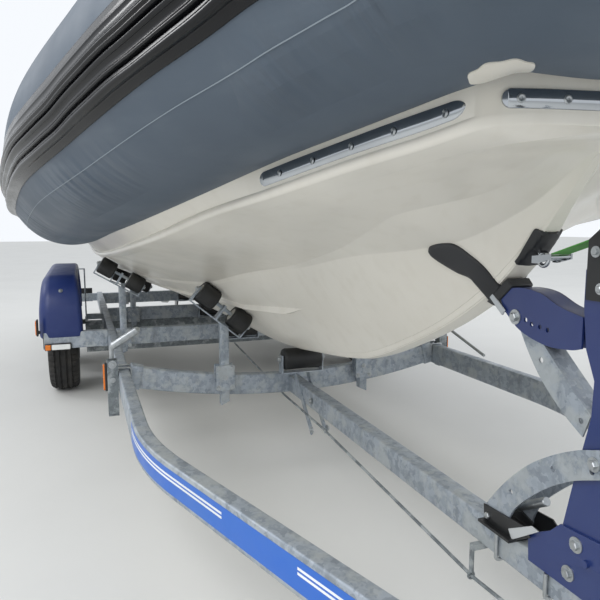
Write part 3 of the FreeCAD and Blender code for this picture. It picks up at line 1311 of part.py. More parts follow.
def make_lamps():
    gap = s.running_gap
    low = s.rail_top - s.rail_height
    front = second_beam_x + gap
    white = block(front, front + 30, beam_reach_y - 150, beam_reach_y - 40, low - 2, low + 34)
    amber = block(front, front + 30, beam_reach_y - 38, beam_reach_y - 8, low - 2, low + 34)
    outer = stand_y + s.stand_leg / 2
    sides = []
    for _, sign, ahead, _, _ in STANDS:
        x = s.front_beam_x + ahead
        y0, y1 = sorted((sign * (outer + gap), sign * (outer + 14)))
        sides.append(block(x - 12, x + 14, y0, y1, s.rail_top - 82, s.rail_top + 38))
    add_shape("amber_reflectors", *(both_sides(amber) + sides))
    back = rail_end_x - 40
    tail = block(back - 50 - gap, back - gap, beam_reach_y - 320, beam_reach_y - 70,
                 low + 10, s.rail_top + 30)
    add_shape("lamps", *(both_sides(white) + both_sides(tail)))


def make_brake_rod():
    """Thin rod that runs back beside the spine, through a ring on a hanging strap."""
    y, r = -s.spine_width / 2 - 22, 5
    points = [(nose_x - 150, y, spine_low + 20), (s.front_beam_x + 1551, y, 182),
              (s.front_beam_x + 505, y, 245), (s.front_beam_x, y, 252),
              (second_beam_x + 60, y, 325)]
    rods = [rod(a, b, r) for a, b in zip(points, points[1:])]
    joints = [Part.makeSphere(r, Vector(*p)) for p in points[1:-1]]
    hanger_x = s.front_beam_x + 1541
    eye = Part.makeTorus(9, 3, Vector(hanger_x, y, 182.7), Vector(1, 0, 0))
    strap = block(hanger_x - 8, hanger_x + 8, y - 2, y + 2, 192, spine_low - 12)
    foot = block(hanger_x - 8, hanger_x + 8, y - 2, 10, spine_low - 16, spine_low - s.running_gap)
    add_shape("brake_rod", fused(rods + joints), fused([eye, strap, foot]))


# Make every piece

hull_solid = make_boat_hull()
make_deck()
make_bow_trim()
make_steering_wheel(*make_cockpit())
make_seats()
make_roll_bar()
make_engine()
make_chassis()
make_beams()
make_axles()
make_wheels()
make_mudguards()
make_rollers()
make_winch_post()
make_snubber(hull_solid)
make_winch()
make_coupling()
make_jockey()
make_prop_stands()
make_lamps()
make_brake_rod()

doc.recompute()

# Check and write

os.makedirs("parts", exist_ok=True)
for entry in doc.Objects:
    if any(state in ("Invalid", "Error") for state in entry.State):
        raise RuntimeError(f"{entry.Label} failed: {entry.State}")
low, high = Vector(1e9, 1e9, 1e9), Vector(-1e9, -1e9, -1e9)
for piece in PIECES:
    shape = piece.Shape
    if shape.isNull() or not shape.isValid():
        raise RuntimeError(f"{piece.Label} has no valid shape")
    box = Part.Compound([shape]).optimalBoundingBox(False)
    low = Vector(min(low.x, box.XMin), min(low.y, box.YMin), min(low.z, box.ZMin))
    high = Vector(max(high.x, box.XMax), max(high.y, box.YMax), max(high.z, box.ZMax))
    shape.exportStep(f"parts/{piece.Label}.step")
    print(f"{piece.Label:24s} solids {len(shape.Solids):3d} faces {len(shape.Faces):5d}"
          f" volume {shape.Volume / 1e6:10.3f} l  z {box.ZMin:7.1f} {box.ZMax:7.1f}"
          f"  x {box.XMin:8.1f} {box.XMax:8.1f}")
print("box", low, high, "middle", (low.x + high.x) / 2)
print("pieces", len(PIECES))
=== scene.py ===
"""Dresses the rigid inflatable boat on its road trailer for rendering.

Everything is in metres in the model's frame: +X to the bow, +Y to port, +Z up, ground at 0.
"""

import json
import logging
import math
from dataclasses import dataclass, field
from enum import Enum
from typing import Any, ClassVar, Iterable, Sequence

import bmesh
import bpy
import numpy as np
from mathutils import Matrix


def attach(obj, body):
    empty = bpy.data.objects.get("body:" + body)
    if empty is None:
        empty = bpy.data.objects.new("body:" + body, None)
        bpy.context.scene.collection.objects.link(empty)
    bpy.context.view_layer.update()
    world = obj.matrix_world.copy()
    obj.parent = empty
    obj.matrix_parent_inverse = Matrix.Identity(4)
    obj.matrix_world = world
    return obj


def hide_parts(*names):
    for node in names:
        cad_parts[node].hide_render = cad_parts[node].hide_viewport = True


LOG = logging.getLogger("boat")
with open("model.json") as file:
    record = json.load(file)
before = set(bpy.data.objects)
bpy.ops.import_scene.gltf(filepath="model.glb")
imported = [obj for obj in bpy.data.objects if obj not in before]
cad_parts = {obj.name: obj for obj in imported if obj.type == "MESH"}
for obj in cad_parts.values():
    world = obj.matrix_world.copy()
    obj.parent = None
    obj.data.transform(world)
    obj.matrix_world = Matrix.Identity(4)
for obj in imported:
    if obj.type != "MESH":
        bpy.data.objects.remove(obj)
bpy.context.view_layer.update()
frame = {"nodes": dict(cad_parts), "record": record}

Array = np.ndarray
ROOT = "boat_and_trailer"


class Axis(Enum):
    """The direction that a flat outline is thickened along."""

    X = 0
    Y = 1
    Z = 2


# Shapes worked out as arrays


@dataclass
class Surface:
    """Points and the faces between them, each group of faces with one number of corners."""

    points: Array
    faces: list[Array]

    def __add__(self, other: "Surface") -> "Surface":
        """Both surfaces in one, the second one's corners counted after the first one's.

        Args:
            other: The second surface.

        Returns:
            The joined surface.
        """
        shift = len(self.points)
        moved = [f + shift for f in other.faces]
        return Surface(np.vstack([self.points, other.points]), self.faces + moved)

    def mirrored(self) -> "Surface":
        """The surface reflected in the centre plane."""
        flip = np.array([1.0, -1.0, 1.0])
        return Surface(self.points * flip, [f[:, ::-1] for f in self.faces])

    def both(self) -> "Surface":
        """The surface and its reflection in the centre plane."""
        return self + self.mirrored()


def joined(parts: Iterable[Surface]) -> Surface:
    """All the surfaces in one.

    Args:
        parts: The surfaces, at least one.

    Returns:
        One surface that holds them all.
    """
    parts = list(parts)
    total = parts[0]
    for part in parts[1:]:
        total = total + part
    return total


def grid(points: Array, wrap_rows: bool = False, wrap_columns: bool = False,
         cap_ends: bool = False) -> Surface:
    """A surface over a grid of points, quad by quad.

    Args:
        points: Array of rows by columns by 3.
        wrap_rows: Join the last row to the first.
        wrap_columns: Join the last column to the first.
        cap_ends: Close the first and the last row with one face each.

    Returns:
        The surface.
    """
    rows, columns = points.shape[:2]
    index = np.arange(rows * columns).reshape(rows, columns)
    if wrap_rows:
        index = np.vstack([index, index[:1]])
    if wrap_columns:
        index = np.hstack([index, index[:, :1]])
    quads = np.stack([index[:-1, :-1], index[:-1, 1:], index[1:, 1:], index[1:, :-1]], axis=-1)
    faces = [quads.reshape(-1, 4)]
    if cap_ends:
        first, last = np.arange(columns), np.arange(columns) + (rows - 1) * columns
        faces += [first[None, ::-1], last[None, :]]
    return Surface(points.reshape(-1, 3), faces)


def unit(vectors: Array) -> Array:
    """Vectors divided by their lengths along the last axis."""
    return vectors / np.maximum(np.linalg.norm(vectors, axis=-1, keepdims=True), 1e-12)


def tangents(path: Array) -> Array:
    """Unit directions along a path: each point's is the sum of its two runs' directions.

    Args:
        path: Points, n by 3.

    Returns:
        A direction for each point.
    """
    runs = unit(np.diff(path, axis=0))
    both = np.vstack([runs[:1], runs[:-1] + runs[1:], runs[-1:]])
    return unit(both)


def bar(points: Array) -> Surface:
    """A closed bar: its sections are the rows, and both ends are capped."""
    return grid(points, wrap_columns=True, cap_ends=True)


def loop(points: Array) -> Surface:
    """A closed ring of closed sections."""
    return grid(points, wrap_rows=True, wrap_columns=True)


def turns(steps: int) -> Array:
    """Even angles once round, in radians."""
    return np.linspace(0, 2 * np.pi, steps, endpoint=False)


def sweep(path: Array, profile: Array, up: Sequence[float] = (0.0, 0.0, 1.0)) -> Surface:
    """Carries a closed profile along a path, widened in corners so that runs keep their width.

    Args:
        path: Points along the path, n by 3.
        profile: Points of the profile, k by 2: sideways (to the left) and upwards.
        up: The direction kept as upwards as the path allows.

    Returns:
        The swept surface.
    """
    path, profile = np.asarray(path, float), np.asarray(profile, float)
    along = tangents(path)
    side = unit(np.cross(np.asarray(up, float), along))
    high = np.cross(along, side)
    runs = unit(np.diff(path, axis=0))
    turn = np.einsum("ij,ij->i", along, np.vstack([runs, runs[-1:]]))
    stretch = 1.0 / np.clip(turn, 0.5, 1.0)
    points = (path[:, None] + profile[None, :, :1] * (side * stretch[:, None])[:, None]
              + profile[None, :, 1:] * high[:, None])
    return bar(points)


def circle(radius: float, steps: int = 24) -> Array:
    """Points of a circle about the origin of a profile's plane."""
    return np.stack([np.cos(turns(steps)), np.sin(turns(steps))], axis=1) * radius


def rounded(width: float, height: float, radius: float, steps: int = 5) -> Array:
    """Outline of a rectangle with rounded corners: quarter circles about four centres.

    Args:
        width: Full width.
        height: Full height.
        radius: Radius of the corners.
        steps: Points of each corner.

    Returns:
        The outline, anticlockwise.
    """
    quarter = np.linspace(0, np.pi / 2, steps)
    outline = []
    for turn, (sx, sy) in enumerate(((1, 1), (-1, 1), (-1, -1), (1, -1))):
        centre = np.array([sx * (width / 2 - radius), sy * (height / 2 - radius)])
        angle = quarter + turn * np.pi / 2
        outline.append(centre + np.stack([np.cos(angle), np.sin(angle)], axis=1) * radius)
    return np.vstack(outline)


def curve_through(points: Sequence[Any], steps: int) -> Array:
    """A smooth curve through points: cubic pieces whose slopes are their neighbours' chords.

    Args:
        points: The points, n by d.
        steps: Samples of each piece.

    Returns:
        Samples along the curve, ending on the last point.
    """
    points = np.asarray(points, float)
    count = len(points)
    place = np.linspace(0, count - 1, (count - 1) * steps + 1)
    return hermite(np.arange(count, dtype=float), points, place)


def cubic(knots: Array, values: Array, slope: Array, place: Array) -> Array:
    """Cubic pieces between knots with given values and slopes at each.

    Args:
        knots: Rising positions of the values.
        values: Values at the knots, n by d.
        slope: Slopes at the knots, n by d.
        place: Positions to read.

    Returns:
        The values at those positions.
    """
    piece = np.clip(np.searchsorted(knots, place, side="right") - 1, 0, len(knots) - 2)
    width = (knots[piece + 1] - knots[piece])[:, None]
    t = (place - knots[piece])[:, None] / width
    return ((2 * t ** 3 - 3 * t ** 2 + 1) * values[piece]
            + (t ** 3 - 2 * t ** 2 + t) * width * slope[piece]
            + (3 * t ** 2 - 2 * t ** 3) * values[piece + 1]
            + (t ** 3 - t ** 2) * width * slope[piece + 1])


def hermite(knots: Array, values: Array, place: Array) -> Array:
    """Smooth interpolation whose slopes are those of a parabola through three knots."""
    return cubic(knots, values, np.gradient(values, knots, axis=0), place)


def steady(knots: Array, values: Array, place: Array) -> Array:
    """Smooth interpolation without overshoot: slopes are harmonic means of both chords.

    Args:
        knots: Rising positions of the values.
        values: Values at the knots, n by d.
        place: Positions to read.

    Returns:
        The values at those positions.
    """
    chord = np.diff(values, axis=0) / np.diff(knots)[:, None]
    same = chord[1:] * chord[:-1] > 0
    mean = np.divide(2 * chord[1:] * chord[:-1], chord[1:] + chord[:-1],
                     out=np.zeros_like(chord[1:]), where=same)
    return cubic(knots, values, np.vstack([chord[:1], mean, chord[-1:]]), place)


def revolve(profile: Sequence[Any], origin: Sequence[float], axis: Sequence[float],
            steps: int = 32) -> Surface:
    """Turns a profile of (radius, distance along the axis) about an axis.

    Args:
        profile: k by 2 points; the outline is closed where it ends at radius 0.
        origin: The point that distances are counted from.
        axis: The axis, any length.
        steps: Points around.

    Returns:
        The surface, with the profile's first and last points joined where they differ.
    """
    profile = np.asarray(profile, float)
    along = unit(np.asarray(axis, float))
    helper = np.array([0.0, 0.0, 1.0]) if abs(along[2]) < 0.9 else np.array([1.0, 0.0, 0.0])
    first = unit(np.cross(helper, along))
    second = np.cross(along, first)
    ray = np.cos(turns(steps))[:, None] * first + np.sin(turns(steps))[:, None] * second
    points = (np.asarray(origin, float) + profile[None, :, :1] * ray[:, None]
              + profile[None, :, 1:] * along)
    ring = profile[0, 0] > 1e-9 and profile[-1, 0] > 1e-9
    return grid(points, wrap_rows=True, wrap_columns=ring)


def rod(start: Sequence[float], end: Sequence[float], radius: float, steps: int = 20,
        chamfer: float = 0.0) -> Surface:
    """A round bar between two points, its ends chamfered.

    Args:
        start: One end.
        end: The other end.
        radius: Its radius.
        steps: Points around.
        chamfer: Size of the chamfers, 12 % of the radius if not given.

    Returns:
        The closed surface.
    """
    start, end = np.asarray(start, float), np.asarray(end, float)
    length = float(np.linalg.norm(end - start))
    cut = chamfer or radius * 0.12
    profile = [(0, 0), (radius - cut, 0), (radius, cut), (radius, length - cut),
               (radius - cut, length), (0, length)]
    return revolve(profile, start, end - start, steps)


def plate(outline: Sequence[Sequence[float]], axis: Axis, low: float, high: float) -> Surface:
    """A flat outline thickened along an axis.

    Args:
        outline: Points in the other two axes, in X, Y, Z order.
        axis: The direction of the thickness.
        low: One face's place along it.
        high: The other face's place.

    Returns:
        The closed plate.
    """
    flat = np.asarray(outline, float)
    rings = np.stack([np.insert(flat, axis.value, level, axis=1) for level in (low, high)])
    return bar(rings)


def block(low: Sequence[float], high: Sequence[float]) -> Surface:
    """A box from its lowest to its highest corner."""
    (x0, y0, z0), (x1, y1, z1) = low, high
    return plate([(x0, y0), (x1, y0), (x1, y1), (x0, y1)], Axis.Z, z0, z1)


def rounded_path(corners: Sequence[Sequence[float]], radius: float, steps: int = 8) -> Array:
    """Straight runs with tangent arcs of one radius at the corners.

    Args:
        corners: The path's corners.
        radius: Radius of every bend.
        steps: Points of each bend.

    Returns:
        Points along the path.
    """
    corners = np.asarray(corners, float)
    path = [corners[:1]]
    for before, here, after in zip(corners, corners[1:], corners[2:]):
        back, ahead = unit(before - here), unit(after - here)
        half = math.acos(float(np.clip(back @ ahead, -1, 1))) / 2
        reach = radius / math.tan(half)
        centre = here + unit(back + ahead) * radius / math.sin(half)
        first, last = here + back * reach, here + ahead * reach
        t = np.linspace(0, 1, steps)[:, None]
        chord = first - centre + (last - first) * t
        path.append(centre + unit(chord) * radius)
    path.append(corners[-1:])
    return np.vstack(path)


# Finishes


def linear(code: str) -> tuple[float, float, float, float]:
    """An sRGB hex code as linear red, green, blue and 1.

    Below 0.04045 a share is divided by 12.92; above, it is raised by 0.055, divided by 1.055
    and taken to the power 2.4.

    Args:
        code: The colour as # and six hex digits.

    Returns:
        The four values.
    """
    parts = np.array([int(code[i:i + 2], 16) for i in (1, 3, 5)]) / 255
    value = np.where(parts <= 0.04045, parts / 12.92, ((parts + 0.055) / 1.055) ** 2.4)
    return (float(value[0]), float(value[1]), float(value[2]), 1.0)


def add_node(tree: bpy.types.NodeTree, kind: str, settings: dict[str, Any] | None = None,
             links: dict[Any, Any] | None = None) -> bpy.types.Node:
    """Adds a node with its settings and links.

    Args:
        tree: The material's nodes.
        kind: The node's type without its ShaderNode prefix.
        settings: Properties by name.
        links: By input name or number, an output socket to link or a value to set.

    Returns:
        The node.
    """
    node = tree.nodes.new("ShaderNode" + kind)
    for name, value in (settings or {}).items():
        setattr(node, name, value)
    for name, value in (links or {}).items():
        if isinstance(value, bpy.types.NodeSocket):
            tree.links.new(value, node.inputs[name])
        else:
            node.inputs[name].default_value = value
    return node


@dataclass(frozen=True)
class Layer:
    """Cloudy noise in patches size_mm across; its levels from low to high give least to most."""

    size_mm: float
    low: float = 0.0
    high: float = 1.0
    most: float = 1.0
    least: float = 0.0
    detail: float = 3.0
    stretch: tuple[float, float, float] = (1, 1, 1)
    rough: float = 0.5
    colour: str = ""

    def lay(self, tree: bpy.types.NodeTree) -> bpy.types.NodeSocket:
        """The layer's value at each point of the surface, from its place in metres.

        Args:
            tree: The material's nodes.

        Returns:
            The output that holds it.
        """
        at = add_node(tree, "Mapping", {}, {
            "Vector": add_node(tree, "TexCoord").outputs["Object"],
            "Scale": tuple(1 / v for v in self.stretch)})
        cloud = add_node(tree, "TexNoise", {}, {
            "Vector": at.outputs[0], "Scale": 1000 / self.size_mm, "Detail": self.detail,
            "Roughness": self.rough})
        return add_node(tree, "MapRange", {}, {
            "Value": cloud.outputs["Fac"], "From Min": self.low, "From Max": self.high,
            "To Min": self.least, "To Max": self.most}).outputs["Result"]


Relief = Sequence[tuple[bpy.types.NodeSocket, float, float]]


@dataclass(frozen=True)
class Finish:
    """A plain finish: an even colour with clouds of dirt and a grain, both sized in mm."""

    name: str
    slot: str
    colour: str
    dirt: str
    roughness: float = 0.5
    metallic: float = 0.0
    grain_mm: float = 1.2
    grain: float = 0.05
    dirt_mm: float = 140.0
    coat: float = 0.0
    specular: float = 0.5
    made: ClassVar[dict[str, bpy.types.Material]] = {}

    def material(self) -> bpy.types.Material:
        """The finish's material, made once.

        Returns:
            The material, the same one at every call.
        """
        if self.name not in Finish.made:
            material = bpy.data.materials.new(self.name)
            material.use_nodes = True
            shader = material.node_tree.nodes["Principled BSDF"]
            for name, value in self.sockets().items():
                shader.inputs[name].default_value = value
            self.paint(material.node_tree, shader)
            material.diffuse_color = linear(self.colour)
            Finish.made[self.name] = material
        return Finish.made[self.name]

    def sockets(self) -> dict[str, float]:
        """Values that are the same all over, for the shader's own sockets.

        Returns:
            The values by the sockets' names.
        """
        return {"Roughness": self.roughness, "Metallic": self.metallic,
                "Specular IOR Level": self.specular, "Coat Weight": self.coat,
                "Coat Roughness": 0.08 if self.coat else 0.03}

    def base(self, tree: bpy.types.NodeTree) -> Any:
        """The colour under the stains, as a value or a socket."""
        return linear(self.colour)

    def stains(self) -> Sequence[Layer]:
        """Dirt in clouds."""
        return [Layer(self.dirt_mm, 0.42, 0.72, 0.5, detail=6)]

    def gloss(self) -> Layer | None:
        """The roughness, varied in smaller clouds than the dirt's."""
        return Layer(self.dirt_mm * 0.4, 0.3, 0.7, min(1.0, self.roughness * 1.2),
                     self.roughness * 0.85, 4)

    def relief(self, tree: bpy.types.NodeTree) -> Relief:
        """A fine grain; each layer is a height, its depth in metres and its strength."""
        return [(Layer(self.grain_mm, detail=2).lay(tree), 0.0004, self.grain)]

    def paint(self, tree: bpy.types.NodeTree, shader: bpy.types.Node) -> None:
        """Lays the stains over the base, varies the gloss and chains the relief.

        Args:
            tree: The material's nodes.
            shader: Its surface shader.
        """
        colour = self.base(tree)
        for stain in self.stains():
            colour = add_node(tree, "Mix", {"data_type": "RGBA"}, {
                0: stain.lay(tree), 6: colour, 7: linear(stain.colour or self.dirt)}).outputs[2]
        tree.links.new(colour, shader.inputs["Base Color"])
        gloss = self.gloss()
        if gloss:
            tree.links.new(gloss.lay(tree), shader.inputs["Roughness"])
        for height, depth, strength in self.relief(tree):
            below = [link.from_socket for link in shader.inputs["Normal"].links]
            bump = add_node(tree, "Bump", {}, {"Height": height, "Distance": depth,
                                               "Strength": strength})
            if below:
                tree.links.new(below[0], bump.inputs["Normal"])
            tree.links.new(bump.outputs[0], shader.inputs["Normal"])


@dataclass(frozen=True)
class Gelcoat(Finish):
    """Gelcoat from a polished mould: glossy, with a slow ripple and thin rain streaks."""

    def stains(self) -> Sequence[Layer]:
        """Broad clouds of chalking, and streaks that run down."""
        return [Layer(420, 0.4, 0.8, 0.35),
                Layer(45, 0.5, 0.85, 0.3, detail=2, stretch=(1, 1, 12))]

    def gloss(self) -> Layer:
        """Broad duller places."""
        return Layer(240, 0.35, 0.7, self.roughness + 0.07, self.roughness, 2)

    def relief(self, tree: bpy.types.NodeTree) -> Relief:
        """The mould's slow ripple."""
        return [(Layer(260, detail=1).lay(tree), 0.0012, 0.25)]


@dataclass(frozen=True)
class TubeFabric(Finish):
    """Coated woven fabric of a buoyancy tube: matt, with a fine weave and slight creases."""

    def stains(self) -> Sequence[Layer]:
        """Sun-faded clouds, and pale scuffs along the tube."""
        return [Layer(500, 0.4, 0.75, 0.6, detail=4),
                Layer(60, 0.55, 0.85, 0.16, detail=5, stretch=(5, 5, 1), colour="#8D969C")]

    def gloss(self) -> Layer:
        """Wiped and dusty places."""
        return Layer(200, 0.3, 0.7, self.roughness + 0.1, self.roughness - 0.08, 5)

    def relief(self, tree: bpy.types.NodeTree) -> Relief:
        """Swells, puckers, creases, and a weave drawn at 2.5 mm, coarse enough to show.

        Args:
            tree: The material's nodes.

        Returns:
            A height, its depth in metres and its strength for each layer.
        """
        return [(Layer(320, detail=1).lay(tree), 0.005, 0.25), (self.puckers(tree), 0.03, 0.9),
                (Layer(70, stretch=(1, 1, 2.2)).lay(tree), 0.0010, 0.22),
                (Layer(2.5, detail=1).lay(tree), 0.0003, 0.25)]

    def puckers(self, tree: bpy.types.NodeTree) -> bpy.types.NodeSocket:
        """Gathers 32 mm apart across the seam, in patches, where the tube turns under.

        The place attribute holds the distance along the tube and round its girth. The height is
        folds times a patch's share times a share that falls off either side of the seam.

        Args:
            tree: The material's nodes.

        Returns:
            The output that holds the height.
        """
        at = add_node(tree, "Attribute", {"attribute_name": "place"}).outputs["Vector"]
        drawn = add_node(tree, "Mapping", {}, {"Vector": at, "Scale": (1, 0.16, 1)})
        folds = add_node(tree, "TexNoise", {}, {"Vector": drawn.outputs[0], "Scale": 1000 / 32,
                                                "Detail": 0.5})
        patches = add_node(tree, "TexNoise", {}, {"Vector": at, "Scale": 1000 / 420,
                                                  "Detail": 1.0})
        girth = add_node(tree, "SeparateXYZ", {}, {0: at})
        off = add_node(tree, "Math", {"operation": "ADD"}, {0: girth.outputs[1], 1: 0.245})
        away = add_node(tree, "Math", {"operation": "ABSOLUTE"}, {0: off.outputs[0]})
        near = add_node(tree, "MapRange", {}, {"Value": away.outputs[0], "From Min": 0.02,
                                               "From Max": 0.10, "To Min": 1.0, "To Max": 0.0})
        here = add_node(tree, "MapRange", {}, {"Value": patches.outputs["Fac"],
                                               "From Min": 0.42, "From Max": 0.62})
        share = add_node(tree, "Math", {"operation": "MULTIPLY"},
                         {0: near.outputs[0], 1: here.outputs[0]})
        return add_node(tree, "Math", {"operation": "MULTIPLY"},
                        {0: folds.outputs["Fac"], 1: share.outputs[0]}).outputs[0]


@dataclass(frozen=True)
class Galvanised(Finish):
    """Hot-dip galvanised steel: grey zinc with a mottled crystal pattern and run marks."""

    spangle_mm: float = 16.0

    def base(self, tree: bpy.types.NodeTree) -> bpy.types.NodeSocket:
        """Crystals of two greys: cells with edges warped by 3 % of a finer noise.

        Args:
            tree: The material's nodes.

        Returns:
            The output that holds the colour.
        """
        at = add_node(tree, "TexCoord").outputs["Object"]
        warp = add_node(tree, "TexNoise", {}, {"Vector": at, "Scale": 60.0, "Detail": 3.0})
        where = add_node(tree, "Mix", {"data_type": "VECTOR"},
                         {0: 0.03, 4: at, 5: warp.outputs["Color"]})
        cells = add_node(tree, "TexVoronoi", {"feature": "F1"},
                         {"Vector": where.outputs[1], "Scale": 1000 / self.spangle_mm})
        tone = add_node(tree, "SeparateColor", {}, {0: cells.outputs["Color"]})
        share = add_node(tree, "MapRange", {}, {"Value": tone.outputs[0], "From Min": 0.2,
                                                "From Max": 0.9, "To Max": 0.75})
        return add_node(tree, "Mix", {"data_type": "RGBA"}, {
            0: share.outputs[0], 6: linear(self.colour), 7: linear(self.dirt)}).outputs[2]

    def stains(self) -> Sequence[Layer]:
        """Dark runs, and white storage stain over them.

        Returns:
            The layers in the order that they are laid.
        """
        return [Layer(34, 0.5, 0.74, 0.55, detail=7, stretch=(1, 1, 3), rough=0.65,
                      colour="#6E7478"),
                Layer(75, 0.5, 0.6, 0.7, detail=8, rough=0.62, colour="#B4B9BA")]

    def gloss(self) -> Layer:
        """Dull and bright patches."""
        return Layer(45, 0.3, 0.7, self.roughness + 0.18, self.roughness - 0.1, 6)

    def relief(self, tree: bpy.types.NodeTree) -> Relief:
        """Thick runs of zinc, and its fine roughness."""
        return [(Layer(60).lay(tree), 0.0015, 0.3), (Layer(6, detail=4).lay(tree), 0.0004, 0.25)]


@dataclass(frozen=True)
class Glass(Finish):
    """Clear or tinted moulded acrylic."""

    def sockets(self) -> dict[str, float]:
        """Lets most light through, at acrylic's refraction."""
        return super().sockets() | {"Transmission Weight": 0.85, "IOR": 1.49}

    def stains(self) -> Sequence[Layer]:
        """Faint dust that keeps it visible."""
        return [Layer(80, 0.45, 0.8, 0.25, detail=5)]

    def gloss(self) -> None:
        """The gloss is even."""

    def relief(self, tree: bpy.types.NodeTree) -> Relief:
        """The faces are flat."""
        return []


# Gelcoat from a polished mould: a clear gloss over a cream that has chalked a little
CREAM = Gelcoat("cream_gelcoat", "gelcoat", "#E4E0D6", "#D2CCBE", 0.20)
WHITE = Gelcoat("white_gelcoat", "gelcoat", "#E3E2DC", "#D3D1C8", 0.22)
# Coated polyester cloth: matt blue-grey with a dull sheen at a slant
TUBE = TubeFabric("tube_fabric", "tube_fabric", "#55606C", "#48525E", 0.52, specular=0.3)
TAPE = TubeFabric("pale_seam_tape", "tube_fabric", "#8B959E", "#7C868F", 0.55, specular=0.3)
# Extruded rubber: near black, with bright lines along its ribs
STRAKE = Finish("black_strake_rubber", "black_rubber", "#0D0E11", "#15171B", 0.20, grain=0.0,
                specular=0.28)
# Moulded rubber: dull, greyed by dust and wear
ROLLER = Finish("black_roller_rubber", "black_rubber", "#131415", "#3B3A37", 0.5, grain_mm=3)
SNUB = Finish("snubber_rubber", "black_rubber", "#202123", "#35363A", 0.45, grain_mm=3)
TYRE = Finish("tyre_rubber", "tyre_rubber", "#1A1A1B", "#4A4640", 0.75, grain_mm=2)
# Mirror-polished stainless steel: shows the floor and the sky sharply
STEEL = Finish("polished_stainless", "stainless", "#B4B8BC", "#989CA0", 0.07, 1.0, grain=0.0)
# Hot-dip galvanised steel: mottled cool grey, half shiny; duller where it is older
ZINC = Galvanised("galvanised_steel", "galvanised", "#A6AEB7", "#858E97", 0.45, 0.5)
ZINC_DARK = Galvanised("weathered_galvanising", "galvanised", "#7C8386", "#666C70", 0.55, 0.4)
# Zinc-plated steel: small bright faces
BOLT = Finish("plated_bolts", "galvanised", "#B5B9BB", "#84888A", 0.32, 0.9, dirt_mm=20)
# Sprayed enamel: an even colour with a soft gloss
BLUE = Finish("blue_paint", "blue_paint", "#1C2F68", "#273A6C", 0.36, coat=0.25)
STRIPE = Finish("blue_stripe", "blue_paint", "#2563BE", "#2F69B8", 0.35)
PINSTRIPE = Finish("white_pinstripe", "blue_paint", "#E6E8E8", "#C9CCCC", 0.4)
BLACK = Finish("black_enamel", "black_paint", "#161719", "#2C2D2E", 0.35)
LABEL = Finish("blank_label", "black_paint", "#B9BCBD", "#A2A5A6", 0.45)
WHEEL = Finish("silver_wheel_paint", "wheel_paint", "#A8ABAD", "#7B7A76", 0.42, 0.6)
# Rotationally moulded polyethylene: a deep blue with a waxy gloss
GUARD = Finish("blue_guard_plastic", "guard_plastic", "#1C2E66", "#2E3F70", 0.42, grain=0.1)
# Engine enamel on cast aluminium, and a lacquered cowl: dark, the cowl mirror-like
ENGINE = Finish("engine_enamel", "engine_metal", "#1E2227", "#30343A", 0.32, 0.2, coat=0.3)
COWL = Finish("cowl_gloss", "engine_shell", "#171A1F", "#22262C", 0.16, coat=0.6)
# Grained vinyl over foam: soft dark folds with a leathery grain
CUSHION = Finish("grey_vinyl", "upholstery", "#2E3338", "#3C4147", 0.5, grain_mm=1.6, grain=0.3)
PIPING = Finish("pale_vinyl_piping", "upholstery", "#9BA1A4", "#868C8F", 0.5)
# Smoked acrylic: what is behind it shows darker
SCREEN = Glass("smoked_screen", "screen", "#5A656B", "#8C9498", 0.06)
# Moulded ABS and nylon: plain, slightly dull
KNOB = Finish("black_moulding", "black_plastic", "#18191B", "#2A2B2D", 0.48)
NYLON = Finish("pale_roller_plastic", "black_plastic", "#A9A79E", "#8B8981", 0.55)
# Woven polyester webbing: no gloss, its 1 mm threads drawn at 2.5 mm so that they show
STRAP = Finish("green_webbing", "webbing", "#4F9443", "#3E7836", 0.8, grain_mm=2.5, grain=0.6)
WEBBING = Finish("black_webbing", "webbing", "#1D1E20", "#2E2F31", 0.8, grain_mm=2.5, grain=0.6)
# Moulded acrylic lenses: saturated and glossy
RED = Finish("red_lens", "lamp_plastic", "#A3160F", "#7E130E", 0.16, coat=0.5)
CLEAR = Finish("white_lens", "lamp_plastic", "#E4E6E4", "#C3C6C4", 0.18, coat=0.5)
AMBER = Finish("amber_lens", "amber_plastic", "#E2790F", "#C46409", 0.18, coat=0.5)
# Rolled-on deck paint with grit: dull and rough
MAT = Finish("grey_deck_mat", "gelcoat", "#8E9496", "#7E8486", 0.8, grain_mm=4, grain=0.5)
FLOOR = Finish("floor_paint", "gelcoat", "#D9D9D6", "#D2D2CF", 0.8, dirt_mm=900)


# Making pieces


def put_in(mesh: bpy.types.Mesh, finish: Finish, body: str, nodes: Sequence[str], sharp: float,
           bevel: float, segments: int, limit: float) -> bpy.types.Object:
    """Puts a mesh in the scene as a finished piece.

    Args:
        mesh: Its shape, in its place.
        finish: Its finish.
        body: The body that it rides on.
        nodes: The solids that it stands for.
        sharp: Edges that turn more than this many degrees are drawn sharp.
        bevel: Width of the rounded edges in metres, 0 for none.
        segments: Faces across a rounded edge.
        limit: Edges that turn more than this many degrees are rounded.

    Returns:
        The piece.
    """
    mesh.shade_smooth()
    mesh.set_sharp_from_angle(angle=math.radians(sharp))
    mesh.materials.clear()
    mesh.materials.append(finish.material())
    piece = bpy.data.objects.new(mesh.name, mesh)
    bpy.context.scene.collection.objects.link(piece)
    if bevel:
        edge = piece.modifiers.new("edges", "BEVEL")
        edge.width, edge.segments = bevel, segments
        edge.limit_method, edge.angle_limit = "ANGLE", math.radians(limit)
    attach(piece, body)
    if nodes:
        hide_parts(*nodes)
    LOG.info("%s: %d points", piece.name, len(mesh.vertices))
    return piece


